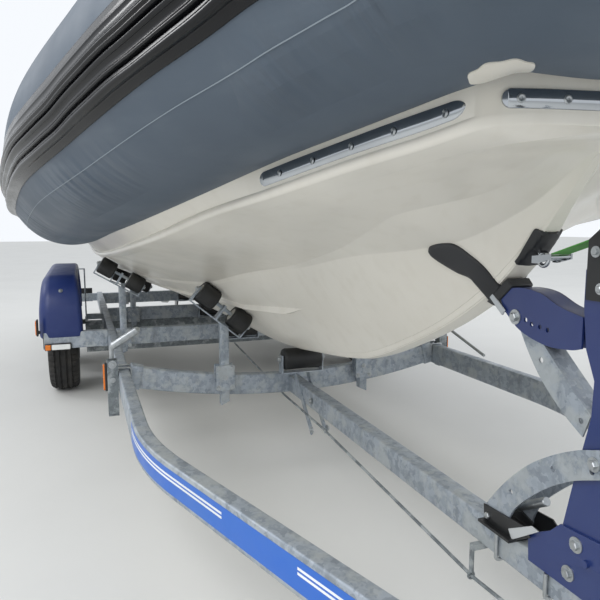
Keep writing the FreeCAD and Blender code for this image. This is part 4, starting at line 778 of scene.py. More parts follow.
@dataclass
class Piece:
    """A shape worked out here, with its finish and the solids that it stands for."""

    name: str
    surface: Surface
    finish: Finish
    body: str = ROOT
    nodes: tuple[str, ...] = ()
    bevel: float = 0.0
    segments: int = 2
    sharp: float = 35.0
    place: Array | None = None

    def build(self) -> bpy.types.Object:
        """Makes the object with its doubles merged and its faces turned outwards.

        Returns:
            The object.
        """
        mesh = bpy.data.meshes.new(self.name)
        faces = [row for group in self.surface.faces for row in group.tolist()]
        mesh.from_pydata(self.surface.points.tolist(), [], faces)
        if self.place is not None:
            kept = mesh.attributes.new("place", "FLOAT_VECTOR", "POINT")
            kept.data.foreach_set("vector", self.place.ravel())
        work = bmesh.new()
        work.from_mesh(mesh)
        bmesh.ops.remove_doubles(work, verts=work.verts, dist=2e-6)
        bmesh.ops.recalc_face_normals(work, faces=work.faces)
        work.to_mesh(mesh)
        work.free()
        return put_in(mesh, self.finish, self.body, self.nodes, self.sharp, self.bevel,
                      self.segments, 28)


MOVING: dict[str, str] = {node: body for body, nodes in
                          frame["record"]["behaviour"]["bodies"].items() for node in nodes}


@dataclass
class Softened:
    """A solid's own shape with its flat faces merged and its edges rounded."""

    node: str
    finish: Finish
    width: float
    segments: int

    def build(self) -> bpy.types.Object:
        """Makes the rounded copy, which takes the place of the solid.

        Returns:
            The copy.
        """
        mesh = frame["nodes"][self.node].data.copy()
        mesh.name = self.node + "_rounded"
        work = bmesh.new()
        work.from_mesh(mesh)
        bmesh.ops.remove_doubles(work, verts=work.verts, dist=1e-5)
        bmesh.ops.dissolve_limit(work, angle_limit=math.radians(0.6), verts=work.verts,
                                 edges=work.edges)
        bmesh.ops.recalc_face_normals(work, faces=work.faces)
        work.to_mesh(mesh)
        work.free()
        return put_in(mesh, self.finish, MOVING[self.node], (self.node,), 30, self.width,
                      self.segments, 30)


def soften(finish: Finish, width: float, segments: int, *nodes: str) -> None:
    """Makes the rounded copies of solids that share a finish and a width of edge."""
    for node in nodes:
        Softened(node, finish, width, segments).build()


# Shared fittings


def hexagon_bolt(point: Sequence[float], axis: Sequence[float], size: float = 0.013) -> Surface:
    """A washer and a hexagon head with a chamfered crown.

    Args:
        point: Middle of the washer's face on the plate.
        axis: Outward direction.
        size: Across the flats.

    Returns:
        The bolt head on its washer.
    """
    washer = [(0, -0.0004), (size * 0.95, -0.0004), (size * 0.95, size * 0.14), (0, size * 0.14)]
    head = np.array([(0, 0.12), (1 / 1.73, 0.12), (1 / 1.73, 0.52), (0.47, 0.62), (0, 0.62)]) * size
    return revolve(washer, point, axis, 20) + revolve(head, point, axis, 6)


def paired_bolts(places: Iterable[Sequence[float]], face: float, size: float) -> Surface:
    """Bolt heads at side-view places, on the faces at y = face and at y = -face."""
    return joined(hexagon_bolt((x, sign * face, z), (0, sign, 0), size)
                  for x, z in places for sign in (-1, 1))


def pierced(outline: Sequence[Sequence[float]], holes: Iterable[Sequence[float]], radius: float,
            low: float, high: float) -> Surface:
    """A pair of upright plates with round holes, made from filled curves.

    Args:
        outline: Side-view points.
        holes: Middle of every hole.
        radius: Radius of the holes.
        low: The port plate's inner face.
        high: Its outer face.

    Returns:
        Both plates, each as far from the centre plane.
    """
    curve = bpy.data.curves.new("outline", "CURVE")
    curve.dimensions, curve.fill_mode = "2D", "BOTH"
    curve.extrude = (high - low) / 2
    for line in [np.asarray(outline, float)] + [circle(radius) + hole for hole in holes]:
        spline = curve.splines.new("POLY")
        spline.points.add(len(line) - 1)
        spline.points.foreach_set("co", np.insert(line, 2, [[0], [1]], axis=1).ravel())
        spline.use_cyclic_u = True
    source = bpy.data.objects.new("outline", curve)
    mesh = bpy.data.meshes.new_from_object(source)
    count = len(mesh.vertices)
    flat = np.empty(count * 3)
    mesh.vertices.foreach_get("co", flat)
    flat = flat.reshape(-1, 3)
    faces = [np.array([list(face.vertices)]) for face in mesh.polygons]
    bpy.data.objects.remove(source)
    bpy.data.curves.remove(curve)
    bpy.data.meshes.remove(mesh)
    points = np.insert(flat[:, :2], Axis.Y.value, flat[:, 2] + (low + high) / 2, axis=1)
    return Surface(points, faces).both()


def behind(points: Iterable[Sequence[float]]) -> list[tuple[float, float]]:
    """Side-view points given from the camera's station, as places in the model."""
    return [(x + 2.8505, z) for x, z in points]


# The boat


BOW_X, TRANSOM_X, KEEL_Z = 2.0655, -3.4497, 0.475
# Hull sections in millimetres: distance aft of the bow face, keel height above the after
# keel, then half breadth and height of the chine, the flare, the ledge, the bead and the seat
HULL = np.array([
    (5515, 0, 820, 330, 832, 344, 855, 438, 905, 448, 950, 535),
    (4065, 0, 780, 325, 792, 339, 858, 438, 908, 450, 955, 535),
    (3095, 0, 660, 315, 674, 329, 855, 442, 905, 454, 955, 535),
    (2415, 7, 530, 323, 544, 337, 843, 458, 893, 468, 948, 541),
    (1995, 25, 425, 345, 439, 359, 818, 482, 868, 490, 925, 560),
    (1565, 73, 340, 417, 354, 431, 770, 522, 820, 532, 880, 598),
    (1165, 133, 270, 475, 286, 489, 705, 570, 755, 581, 815, 640),
    (815, 255, 250, 530, 285, 552, 610, 633, 660, 647, 698, 706),
    (475, 430, 140, 576, 300, 640, 525, 679, 575, 692, 568, 776),
    (295, 590, 60, 660, 150, 697, 426, 718, 496, 729, 489, 811),
    (215, 693, 34, 722, 130, 728, 390, 732, 463, 743, 456, 826),
    (145, 768, 24, 769, 110, 765, 345, 748, 430, 756, 423, 839),
    (85, 778, 22, 779, 100, 775, 301, 758, 400, 770, 393, 849),
    (60, 781, 20, 782, 95, 778, 270, 763, 376, 780, 368, 859),
    (45, 783, 18, 784, 80, 781, 221, 770, 342, 787, 332, 866),
    (25, 785, 16, 786, 60, 784, 144, 781, 268, 791, 252, 872),
    (0, 787, 12, 788, 25, 788, 55, 787, 110, 792, 92, 874)], float)
# Middle of the buoyancy tube on the port side, in millimetres, from its after end to the bow
TUBE_LINE = np.array([
    (-3489.5, 1023.0, 1263.3), (-1999.5, 1023.0, 1263.3), (-1029.2, 1023.0, 1263.3),
    (-347.6, 1016.0, 1269.3), (75.9, 992.8, 1288.3), (509.4, 947.4, 1326.3),
    (916.5, 881.1, 1368.3), (1273.4, 762.0, 1434.3), (1615.9, 631.1, 1504.3),
    (1797.4, 551.5, 1539.3), (1878.0, 518.2, 1554.3), (1985.6, 469.3, 1575.2),
    (2107.5, 407.9, 1591.3), (2133.5, 195.3, 1594.3), (2133.5, 0.0, 1596.3)]) / 1000
TUBE_RADIUS = 0.270
STATION = 0.02  # distance between the tube's stations
RIB_STATION = 0.0095  # and between the strake's, whose ribs sway


def hull_rows(steps: int = 12) -> Array:
    """Hull columns between the measured sections.

    The rows are spaced by the distance along the bead, so that they stay even round the
    bow's corner, and every column runs between them with slopes that never overshoot.

    Args:
        steps: Rows between two measured sections.

    Returns:
        Rows like HULL's, in millimetres.
    """
    run = np.hypot(np.diff(HULL[:, 0]), np.diff(HULL[:, 8]))
    knots = np.concatenate([[0.0], np.cumsum(run)])
    place = np.unique(np.concatenate([np.linspace(a, b, steps + 1)
                                      for a, b in zip(knots, knots[1:])]))
    return steady(knots, HULL, place)


def hull_at(aft: Array) -> Array:
    """Hull columns at distances aft of the bow face, in millimetres."""
    return steady(HULL[::-1, 0], HULL[::-1], aft)


def bottom(rows: Array) -> tuple[Array, Array, Array]:
    """Half breadth and height of the keel band's edge, and the bottom panel's slope there.

    Args:
        rows: Rows like HULL's.

    Returns:
        The half breadths, the heights and the slopes.
    """
    share = np.minimum(1, rows[:, 2] / 140)
    band, band_z = np.minimum(32, 0.4 * rows[:, 2]), rows[:, 1] + 4 * share
    return band, band_z, (rows[:, 3] - band_z) / (rows[:, 2] - band)


def place_of(rows: Array, half: Array, height: Array) -> Array:
    """Model points for half breadths and heights in millimetres on the given hull rows."""
    x = BOW_X - rows[:, 0] / 1000
    return np.stack(np.broadcast_arrays(x, half / 1000, KEEL_Z + height / 1000), axis=-1)


def eased(line: Array, corner: int, reach: float) -> Array:
    """Replaces a corner of every section by an arc of five points that starts reach away.

    Args:
        line: Sections, rows by points by 3.
        corner: Index of the corner.
        reach: Distance along both sides where the arc begins.

    Returns:
        The sections with four more points each.
    """
    here = line[:, corner]
    back, ahead = line[:, corner - 1] - here, line[:, corner + 1] - here
    room = np.minimum(np.linalg.norm(back, axis=1), np.linalg.norm(ahead, axis=1)) * 0.4
    size = np.minimum(reach, room)[:, None]
    first, last = here + unit(back) * size, here + unit(ahead) * size
    t = np.linspace(0, 1, 5)[None, :, None]
    arc = ((1 - t) ** 2 * first[:, None] + 2 * t * (1 - t) * here[:, None]
           + t ** 2 * last[:, None])
    return np.concatenate([line[:, :corner], arc, line[:, corner + 1:]], axis=1)


def hull_half(rows: Array) -> Array:
    """Points of the port half sections from the keel to the inside of the tube's seat.

    A ridge stands at the keel band's edge and another beside it. The bead is part of an ellipse,
    and the corners from chine to ledge are eased.

    Args:
        rows: Rows like HULL's.

    Returns:
        The points, rows by points by 3.
    """
    keel, chine, chine_z, flare, flare_z = rows[:, 1], *rows[:, 2:6].T
    ledge, ledge_z, bead, bead_z, seat, seat_z = rows[:, 6:].T
    band, band_z, slope = bottom(rows)
    size = np.minimum(1, chine / 140)
    columns = [place_of(rows, 0 * keel, keel)]
    for out, deep in ((-2.5, 0), (0, 3.5), (2.5, 0), (9.5, 0), (12, 3.5), (14.5, 0)):
        beside = band + out * size
        level = np.where(out < 0, band_z, band_z + out * size * slope)
        columns.append(place_of(rows, beside, level + deep * size))
    columns += [place_of(rows, chine, chine_z), place_of(rows, flare, flare_z),
                place_of(rows, ledge, ledge_z)]
    columns += [place_of(rows, bead - 12 + 12 * math.cos(a), bead_z + 9 + 13 * math.sin(a))
                for a in np.radians(np.linspace(-88, 52, 9))]
    columns += [place_of(rows, seat, seat_z),
                place_of(rows, np.maximum(seat - 90, 5), seat_z + 10)]
    line = np.stack(columns, axis=1)
    for corner, reach in ((9, 0.005), (8, 0.003), (7, 0.003)):
        line = eased(line, corner, reach)
    return line


@dataclass
class Hull:
    """The moulded hull with its bead, keel band, chines and spray rails."""

    rail: tuple[tuple[float, float], ...] = ((1355, 0.58), (1600, 0.62), (1880, 0.69),
                                             (2040, 0.79), (3095, 0.80), (5480, 0.74))
    rail_width: float = 0.026

    def build(self) -> None:
        """Makes the shell, the transom board and the rails."""
        rows = hull_rows()
        half = hull_half(rows)
        mirrored = half[:, ::-1] * np.array([1, -1, 1])
        whole = np.concatenate([half[:, 1:], mirrored[:, :-1], half[:, :1]], axis=1)
        Piece("hull_shell", bar(whole), CREAM, nodes=("hull",), sharp=30).build()
        self.board()
        Piece("spray_rails", self.spray_rails(rows).both(), CREAM, bevel=0.0025).build()
        self.drain()

    def board(self) -> None:
        """The transom above the tube's seat, cut down for the engine."""
        low, top, notch = 0.95, 1.330, 1.130
        outline = [(-0.73, low), (0.73, low), (0.73, top), (0.39, top), (0.33, notch),
                   (-0.33, notch), (-0.39, top), (-0.73, top)]
        Piece("transom_board", plate(outline, Axis.X, TRANSOM_X, -3.3895), CREAM,
              bevel=0.006, segments=3).build()

    def spray_rails(self, rows: Array) -> Surface:
        """A three-cornered rail on the bottom panel: flat below, upright outside.

        Args:
            rows: Hull rows in millimetres.

        Returns:
            The port rail.
        """
        far, share = np.array(self.rail).T
        used = rows[(rows[:, 0] >= far[0]) & (rows[:, 0] <= far[-1])]
        along = np.interp(used[:, 0], far, share)
        band, band_z, slope = bottom(used)
        y = band + (used[:, 2] - band) * along
        z = band_z + (y - band) * slope
        grow = np.clip((used[:, 0] - far[0]) / 160, 0.04, 1)
        width = self.rail_width * 1000 * grow
        inner = place_of(used, y - width, z - width * slope + 0.6)
        edge = place_of(used, y, z - width * slope)
        upper = place_of(used, y, z + 0.6)
        return bar(np.stack([inner, edge, upper], axis=1))

    def drain(self) -> None:
        """Polished drain plug low in the transom."""
        plug = revolve([(0, -0.004), (0.016, -0.004), (0.019, 0), (0.019, 0.006),
                        (0.010, 0.009), (0, 0.009)], (TRANSOM_X, 0, 0.53), (-1, 0, 0))
        Piece("drain_plug", plug, STEEL).build()


@dataclass
class TubeFrame:
    """Stations along the buoyancy tube: points with directions outward and upward."""

    path: Array
    outward: Array
    upward: Array

    @classmethod
    def along(cls, spacing: float = STATION) -> "TubeFrame":
        """Frames along the whole tube, port stern to bow to starboard stern.

        Args:
            spacing: Distance between stations in metres.

        Returns:
            The frames.
        """
        line = np.vstack([TUBE_LINE, TUBE_LINE[-2::-1] * np.array([1, -1, 1])])
        run = np.linalg.norm(np.diff(line, axis=0), axis=1)
        knots = np.concatenate([[0.0], np.cumsum(run)])
        path = hermite(knots, line, np.linspace(0, knots[-1], int(knots[-1] / spacing)))
        along = tangents(path)
        outward = unit(np.cross(np.array([0.0, 0.0, 1.0]), along))
        return cls(path, outward, np.cross(along, outward))

    def part(self, first: int, last: int) -> "TubeFrame":
        """The stations from first up to last."""
        return TubeFrame(self.path[first:last], self.outward[first:last],
                         self.upward[first:last])

    def around(self, degrees: Array, radius: Array) -> Array:
        """Points at girth angles (up from level, outer side) and radii, station by station.

        Args:
            degrees: The angles, one set for all stations or one for each.
            radius: The radii, alike.

        Returns:
            The points, stations by angles by 3.
        """
        shape = (len(self.path), np.shape(degrees)[-1])
        angle = np.radians(np.broadcast_to(np.asarray(degrees, float), shape))
        reach = np.broadcast_to(np.asarray(radius, float), shape)
        side = (reach * np.cos(angle))[..., None] * self.outward[:, None]
        rise = (reach * np.sin(angle))[..., None] * self.upward[:, None]
        return self.path[:, None] + side + rise

    def band(self, degrees: Array, high: float, low: float = -0.003) -> Surface:
        """A thin tape over girth angles, between two heights above the tube.

        Args:
            degrees: The angles across the tape.
            high: Its outer face.
            low: Its inner face, below the tube's skin.

        Returns:
            The closed tape.
        """
        outer = self.around(degrees, TUBE_RADIUS + high)
        inner = self.around(degrees, TUBE_RADIUS + low)
        return bar(np.concatenate([outer, inner[:, ::-1]], axis=1))


# Rubbing strake: girth angle in degrees and height above the tube in millimetres
STRAKE_SHAPE = np.array([
    (-30.3, 0.4), (-30.1, 3.0), (-26.9, 3.8), (-26.4, 8), (-25.9, 14), (-25.2, 18.5), (-24.4, 21),
    (-23.6, 20.5), (-22.9, 17.5), (-22.4, 14), (-21.9, 13.5), (-21.4, 11.5), (-20.9, 6),
    (-20.6, 8.5), (-20.2, 13.5), (-19.7, 15.5), (-19.1, 14.5), (-18.6, 10), (-18.2, 6.5),
    (-15.3, 6.0), (-15.0, 9.5), (-14.5, 11.8), (-13.8, 12.8), (-13.1, 12.5), (-12.6, 9.5),
    (-12.3, 3.5), (-12.0, 8), (-11.6, 14), (-11.1, 17), (-10.5, 16.5), (-10.0, 13), (-9.7, 12),
    (-9.3, 14), (-8.8, 16.5), (-8.2, 15), (-7.8, 11), (-7.3, 12.2), (-6.8, 10), (-6.4, 5),
    (-2.7, 4.2), (-2.4, 5.2), (-1.9, 4.6), (-1.0, 3.4), (0.1, 3.2), (0.4, 2.4), (1.4, 2.3),
    (1.7, 1.5), (2.5, 1.3), (2.7, 0.4)])


@dataclass
class Collar:
    """Buoyancy tube with its cones, seams, patches and rubbing strake."""

    frame: TubeFrame = field(default_factory=TubeFrame.along)

    def build(self) -> None:
        """Makes the tube, the tapes on it and the strake."""
        self.tube()
        self.cones()
        self.tapes()
        self.strake()
        self.patches()
        self.valves()
        self.handles()

    def tube(self) -> None:
        """The round tube, its underside drawn in by slow waves that come and go along it."""
        degrees = -np.degrees(turns(144))
        along = np.arange(len(self.frame.path)) * STATION
        low = np.exp(-((degrees + 60) / 16.0) ** 2)
        wave = np.sin(along * 29) * 0.6 + np.sin(along * 47 + 1.3) * 0.4
        gate = np.clip(np.sin(along * 2.9 + 0.6) + 0.25, 0, 1) ** 1.5
        radius = TUBE_RADIUS - 0.0012 * (wave * gate)[:, None] * low[None] - 0.0002
        points = self.frame.around(degrees, radius)
        place = np.stack(np.broadcast_arrays(along[:, None], np.radians(degrees) * TUBE_RADIUS,
                                             0.0), axis=-1)
        Piece("tube_skin", bar(points), TUBE, nodes=("tube_collar",), place=place).build()

    def cones(self) -> None:
        """Tail cones behind the transom with a rounded cap, both sides."""
        share = np.concatenate([np.linspace(0, 1, 12), [1.02, 1.035, 1.045]])
        radius = np.concatenate([np.linspace(TUBE_RADIUS, 0.110, 12), [0.098, 0.07, 0.0]])
        centre = TUBE_LINE[0] + share[:, None] * np.array([-0.400, 0, 0.045])
        ring = np.insert(circle(1.0, 96), 0, 0, axis=1)
        points = centre[:, None] + ring[None] * radius[:, None, None]
        Piece("tail_cones", bar(points).both(), TUBE).build()
        high, low = TUBE_RADIUS + 0.0012, TUBE_RADIUS - 0.004
        band = revolve([(high, -0.02), (high, 0.03), (low, 0.03), (low, -0.02)],
                       centre[0] + [0.012, 0, 0], (-1, 0, 0), 96)
        Piece("cone_tapes", band.both(), TAPE).build()

    def tapes(self) -> None:
        """The pale lengthwise seam below the strake, and seams round the tube's chambers."""
        seams = self.frame.band([-44.3, -43.9], 0.0009) + self.frame.band([118.0, 121.0], 0.001)
        Piece("lengthwise_seams", seams, TAPE).build()
        middle = len(self.frame.path) // 2
        at = int(middle * 0.30)
        rings = [self.frame.part(start, start + 3).band(np.linspace(-95, 150, 80), 0.0008)
                 for start in (at, 2 * middle - at - 2)]
        Piece("chamber_seams", joined(rings), TUBE).build()

    def strake(self) -> None:
        """The ribbed rubbing strake: the measured profile carried along the tube.

        The girth angle of the ribs sways by two sines of the distance, the edges' doesn't.
        """
        profile, fine = STRAKE_SHAPE, TubeFrame.along(RIB_STATION)
        angle = np.concatenate([profile[:, 0], profile[::-8, 0]])
        high = TUBE_RADIUS + np.maximum(profile[:, 1], 0.4) / 1000
        low = np.full(len(profile[::-8]), TUBE_RADIUS - 0.002)
        along = np.arange(len(fine.path)) * RIB_STATION
        sway = np.sin(along * 13.1) * 0.34 + np.sin(along * 31.3 + 2) * 0.10
        loose = np.clip(np.minimum(angle + 28.0, 0.0 - angle) / 4, 0, 1)
        radius = np.concatenate([high, low])
        points = fine.around(angle[None] + sway[:, None] * loose[None], radius)
        Piece("strake_ribs", bar(points), STRAKE, nodes=("rub_strake",), sharp=85).build()

    def patches(self) -> None:
        """A pale scalloped patch on the tube above each corner of the bow."""
        fine = TubeFrame.along(0.004)
        middle = len(fine.path) // 2
        patches = []
        near, far = 86, 128
        for first, last in ((middle + near, middle + far), (middle - far, middle - near)):
            part = fine.part(first, last)
            turn = np.linspace(0.10, np.pi - 0.10, len(part.path))
            bow = np.sin(turn) ** 0.4 - 0.05 * np.sin(turn * 5) ** 2
            degrees = -108 + bow[:, None] * 26 * np.linspace(0, 1, 14)
            patches.append(part.band(degrees, 0.0016, -0.002))
        Piece("bow_patches", joined(patches), CREAM).build()

    def valves(self) -> None:
        """Inflation valves on the inner side of the tube."""
        parts = []
        for index in (0.2, 0.5, 0.8):
            at = int(len(self.frame.path) * index / 2)
            point = self.frame.around(np.array([152.0]), TUBE_RADIUS)[at, 0]
            out = unit(point - self.frame.path[at])
            parts.append(revolve([(0, -0.004), (0.028, -0.004), (0.028, 0.003), (0.024, 0.006),
                                  (0.012, 0.007), (0.011, 0.012), (0, 0.012)], point, out, 28))
        Piece("valves", joined(parts).both(), KNOB).build()

    def handles(self) -> None:
        """Grab handles of webbing on the top of the tube, three a side."""
        parts, span = [], 9
        for index in (0.14, 0.27, 0.40):
            at = int(len(self.frame.path) * index)
            part = self.frame.part(at, at + span)
            rise = np.sin(np.linspace(0, np.pi, span)) ** 0.6 * 0.022
            centre = part.around(np.array([104.0]), TUBE_RADIUS)[:, 0]
            out = unit(centre - part.path)
            side = unit(np.cross(tangents(part.path), out))
            middle = centre + out * (rise[:, None] + 0.0005)
            corners = [middle + side * w + out * h for w, h in
                       ((-0.017, 0), (0.017, 0), (0.017, 0.003), (-0.017, 0.003))]
            parts.append(bar(np.stack(corners, axis=1)))
        Piece("grab_handles", joined(parts).both(), WEBBING, bevel=0.001).build()


# Cockpit and outboard


def cushion(low: Sequence[float], high: Sequence[float], crown: float = 0.010,
            radius: float = 0.045) -> tuple[Surface, Surface]:
    """A crowned seat cushion and the piping round its upper and lower edges.

    The outline is a rounded rectangle. Its rows follow the side, which bulges a little, turn
    over the edge and rise to the crown in the middle.

    Args:
        low: Lowest corner of its room.
        high: Highest corner of its room.
        crown: Rise of the middle above the edge.
        radius: Corners in plan.

    Returns:
        The cushion and its piping.
    """
    low, high = np.asarray(low, float), np.asarray(high, float)
    centre, size = (low + high) / 2, high - low
    reach = min(size[0], size[1]) / 2
    inner = np.linspace(0.03, 0.985, 12)
    inset = np.concatenate([[0.30 * reach, 0.012, 0.004, 0.0, 0.0, 0.004, 0.012],
                            0.012 + inner * (reach - 0.014)])
    height = np.concatenate([[0.0, 0.0, 0.006, 0.018], size[2] - np.array([0.022, 0.009, 0.003]),
                             size[2] - 0.003 + crown * (1 - (1 - inner) ** 2)])
    rings = []
    for move, tall in zip(inset, height):
        wide, deep = size[0] - 2 * move, size[1] - 2 * move
        corner = max(min(radius, wide / 2 - 1e-4, deep / 2 - 1e-4), 1e-4)
        ring = rounded(wide, deep, corner, 8) + centre[:2]
        rings.append(np.hstack([ring, np.full((len(ring), 1), low[2] + tall)]))
    bead, up, pipes = circle(0.0042, 10), np.array([0.0, 0.0, 1.0]), []
    for tall in (0.010, size[2] - 0.006):
        ring = rounded(size[0] - 0.004, size[1] - 0.004, radius, 8) + centre[:2]
        path = np.hstack([ring, np.full((len(ring), 1), low[2] + tall)])
        along = unit(np.roll(path, -1, axis=0) - np.roll(path, 1, axis=0))
        side = np.cross(up, along)
        pipes.append(loop(path[:, None] + bead[None, :, :1] * side[:, None]
                          + bead[None, :, 1:] * up))
    return bar(np.stack(rings)), joined(pipes)


@dataclass
class Cockpit:
    """Deck, console, seats, cushions and roll bar."""

    def build(self) -> None:
        """Makes the moulded parts and what is fitted on them."""
        soften(WHITE, 0.006, 3, "deck_liner")
        soften(WHITE, 0.004, 3, "bow_locker_lid")
        soften(WHITE, 0.010, 4, "console")
        soften(WHITE, 0.003, 3, "console_door")
        soften(SCREEN, 0.0, 2, "windscreen")
        soften(WHITE, 0.008, 3, "helm_seat", "stern_bench")
        soften(WHITE, 0.004, 3, "bench_lid")
        self.cushions()
        self.wheel()
        self.panel()
        self.bar()
        self.mats()

    def cushions(self) -> None:
        """Helm cushion in two halves, backrest and bench cushion in two halves."""
        helm = [cushion((-2.0995, y0, 1.7050), (-1.7295, y1, 1.7950))
                for y0, y1 in ((-0.43, -0.003), (0.003, 0.43))]
        swap = np.array([[0.0, 0.0, 1.0], [0.0, 1.0, 0.0], [1.0, 0.0, 0.0]])
        helm.append(tuple(Surface(part.points @ swap + [-2.1332, 0, 0], part.faces) for part in
                          cushion((1.8546, -0.36, 0.0), (2.1046, 0.36, 0.060), 0.008, 0.03)))
        bench = [cushion((-2.7795, y0, 1.4254), (-2.3695, y1, 1.5152))
                 for y0, y1 in ((-0.685, -0.004), (0.004, 0.685))]
        self.pads(helm, ROOT, "helm_piping", ("helm_pad_starboard", "helm_pad_port",
                                              "backrest_pad"), "helm_cushions")
        self.pads(bench, "bench", "bench_piping", ("bench_pad_starboard", "bench_pad_port"),
                  "bench_cushion")

    def pads(self, made: Sequence[tuple[Surface, Surface]], body: str, piping: str,
             names: Sequence[str], node: str) -> None:
        """Makes padded pieces and their piping; the second pad stands for the solid.

        Args:
            made: The cushions with their piping.
            body: The body that they ride on.
            piping: The piping's name.
            names: The pads' names.
            node: The solid that they stand for.
        """
        for (pad, _), name in zip(made, names):
            nodes = (node,) if name == names[1] else ()
            Piece(name, pad, CUSHION, body, nodes, sharp=70).build()
        Piece(piping, joined(pipe for _, pipe in made), PIPING, body, sharp=80).build()

    def wheel(self) -> None:
        """Steering wheel: padded rim, three spokes and a boss, on its sloping shaft."""
        hub, into = np.array([-1.513628, 0, 1.883197]), np.array([0.82088, 0, -0.57105])
        turn = turns(96)
        first, second = np.array([0.0, 1.0, 0.0]), np.cross(into, [0.0, 1.0, 0.0])
        ring = np.cos(turn)[:, None] * first + np.sin(turn)[:, None] * second
        bead = circle(1.0, 20)
        grip = 0.0135 + 0.0012 * np.cos(turn * 24)
        points = (hub + ring[:, None] * (0.175 + bead[None, :, :1] * grip[:, None, None])
                  + bead[None, :, 1:] * grip[:, None, None] * into)
        Piece("wheel_rim", loop(points), KNOB, "helm", ("steering_wheel",)).build()
        spokes = []
        for a in (np.pi / 2, np.pi / 2 + 2.0944, np.pi / 2 + 4.1888):
            way = math.cos(a) * first + math.sin(a) * second
            path = np.stack([hub + way * r + into * d for r, d in
                             ((0.02, 0.012), (0.08, 0.008), (0.13, 0.002), (0.168, 0.0))])
            spokes.append(sweep(path, rounded(0.028, 0.006, 0.0028, 4), up=into))
        boss = revolve([(0, -0.024), (0.030, -0.022), (0.037, -0.012), (0.038, 0.018),
                        (0.026, 0.026), (0.016, 0.030), (0.015, 0.089), (0, 0.089)], hub, into, 40)
        Piece("wheel_spokes", joined(spokes) + boss, BOLT, "helm", bevel=0.0008).build()

    def panel(self) -> None:
        """Gauges, switches, throttle and grab rail of the console, and the screen's frame."""
        up = unit(np.array([160.0, 0, 230.0]))
        out = np.array([-up[2], 0, up[0]])
        foot = np.array([-1.4395, 0, 1.8316])
        dials, faces = [], []
        for y, size in ((-0.21, 0.042), (0.21, 0.042), (-0.115, 0.028), (0.115, 0.028)):
            centre = foot + up * 0.035 + np.array([0, y, 0])
            bezel = [(0, -0.004), (size, -0.004), (size, 0.006), (size * 0.9, 0.009),
                     (size * 0.84, 0.006), (size * 0.84, 0.0045), (0, 0.0045)]
            glass = [(0, 0.0035), (size * 0.82, 0.0035), (size * 0.82, 0.0052), (0, 0.0056)]
            dials.append(revolve(bezel, centre, out, 40))
            faces.append(revolve(glass, centre, out, 40))
        for y in np.linspace(-0.26, -0.12, 5):
            switch = [(0, -0.003), (0.010, -0.003), (0.010, 0.004), (0.0055, 0.005),
                      (0.005, 0.016), (0, 0.017)]
            dials.append(revolve(switch, foot - up * 0.055 + [0, y, 0], out, 16))
        Piece("gauges", joined(dials), KNOB, bevel=0.0006).build()
        Piece("gauge_glasses", joined(faces), SCREEN).build()
        box = [block((-1.42, -0.385, 1.80), (-1.34, -0.335, 1.99))]
        lever = rounded_path([(-1.38, -0.36, 1.96), (-1.39, -0.36, 2.06), (-1.39, -0.30, 2.075)],
                             0.02, 6)
        box.append(sweep(lever, circle(0.009, 16), up=(1, 0, 0)))
        box.append(rod((-1.39, -0.335, 2.075), (-1.39, -0.25, 2.075), 0.017, 20, 0.006))
        Piece("throttle", joined(box), KNOB, bevel=0.004, segments=3).build()
        low, high = np.array([-0.9615, 0.352, 1.9475]), np.array([-1.1115, 0.352, 2.2765])
        path = rounded_path([low, high, high * [1, -1, 1], low * [1, -1, 1]], 0.06, 8)
        Piece("screen_frame", sweep(path, circle(0.0085, 14), up=(1, 0, 0.3)), STEEL).build()
        rail = rounded_path([(-0.86, -0.30, 1.6), (-0.80, -0.30, 1.66), (-0.80, 0.30, 1.66),
                             (-0.86, 0.30, 1.6)], 0.03, 6)
        Piece("console_grab_rail", sweep(rail, circle(0.0125, 16)), STEEL).build()
        latch = [rod((-1.285, 0.3925, 1.35), (-1.285, 0.3985, 1.35), 0.020, 24),
                 block((-1.289, 0.397, 1.336), (-1.281, 0.4035, 1.364))]
        Piece("door_latch", joined(latch), STEEL, "door", bevel=0.0012).build()

    def bar(self) -> None:
        """Roll bar of polished tube with its feet and brace."""
        x = -3.4195
        lean, top = 0.12, 2.3358
        hoop = rounded_path([(x, -0.64, 1.342), (x - lean, -0.58, top), (x - lean, 0.58, top),
                             (x, 0.64, 1.342)], 0.16, 16)
        cross = rod((x - 0.083, -0.598, 2.03), (x - 0.083, 0.598, 2.03), 0.015)
        foot = revolve([(0, 0), (0.045, 0), (0.045, 0.006), (0.028, 0.014), (0, 0.014)],
                       (x, 0.64, 1.3305), (0, 0, 1), 32)
        tube = sweep(hoop, circle(0.024, 28), up=(1, 0, 0))
        Piece("roll_bar_tube", tube + cross + foot.both(), STEEL, nodes=("roll_bar",)).build()

    def mats(self) -> None:
        """Grey non-slip panels on the cockpit floor, with bare margins round them."""
        parts = []
        for x0, x1, y0, y1 in ((-0.74, 0.40, -0.60, -0.02), (-0.74, 0.40, 0.02, 0.60),
                               (-2.33, -0.82, 0.47, 0.76), (-2.33, -0.82, -0.76, -0.47),
                               (-2.33, -2.20, -0.44, 0.44), (-1.69, -1.56, -0.44, 0.44)):
            outline = rounded(x1 - x0, y1 - y0, 0.03, 6) + [(x0 + x1) / 2, (y0 + y1) / 2]
            parts.append(plate(outline, Axis.Z, 1.0440, 1.0480))
        Piece("floor_mats", joined(parts), MAT).build()


# The front strip: its height, how far aft the bow face reaches in mm, and a strip's thickness
FRONT_Z, FRONT_AFT, STRIP_THICK = 1.302, 45, 0.0046


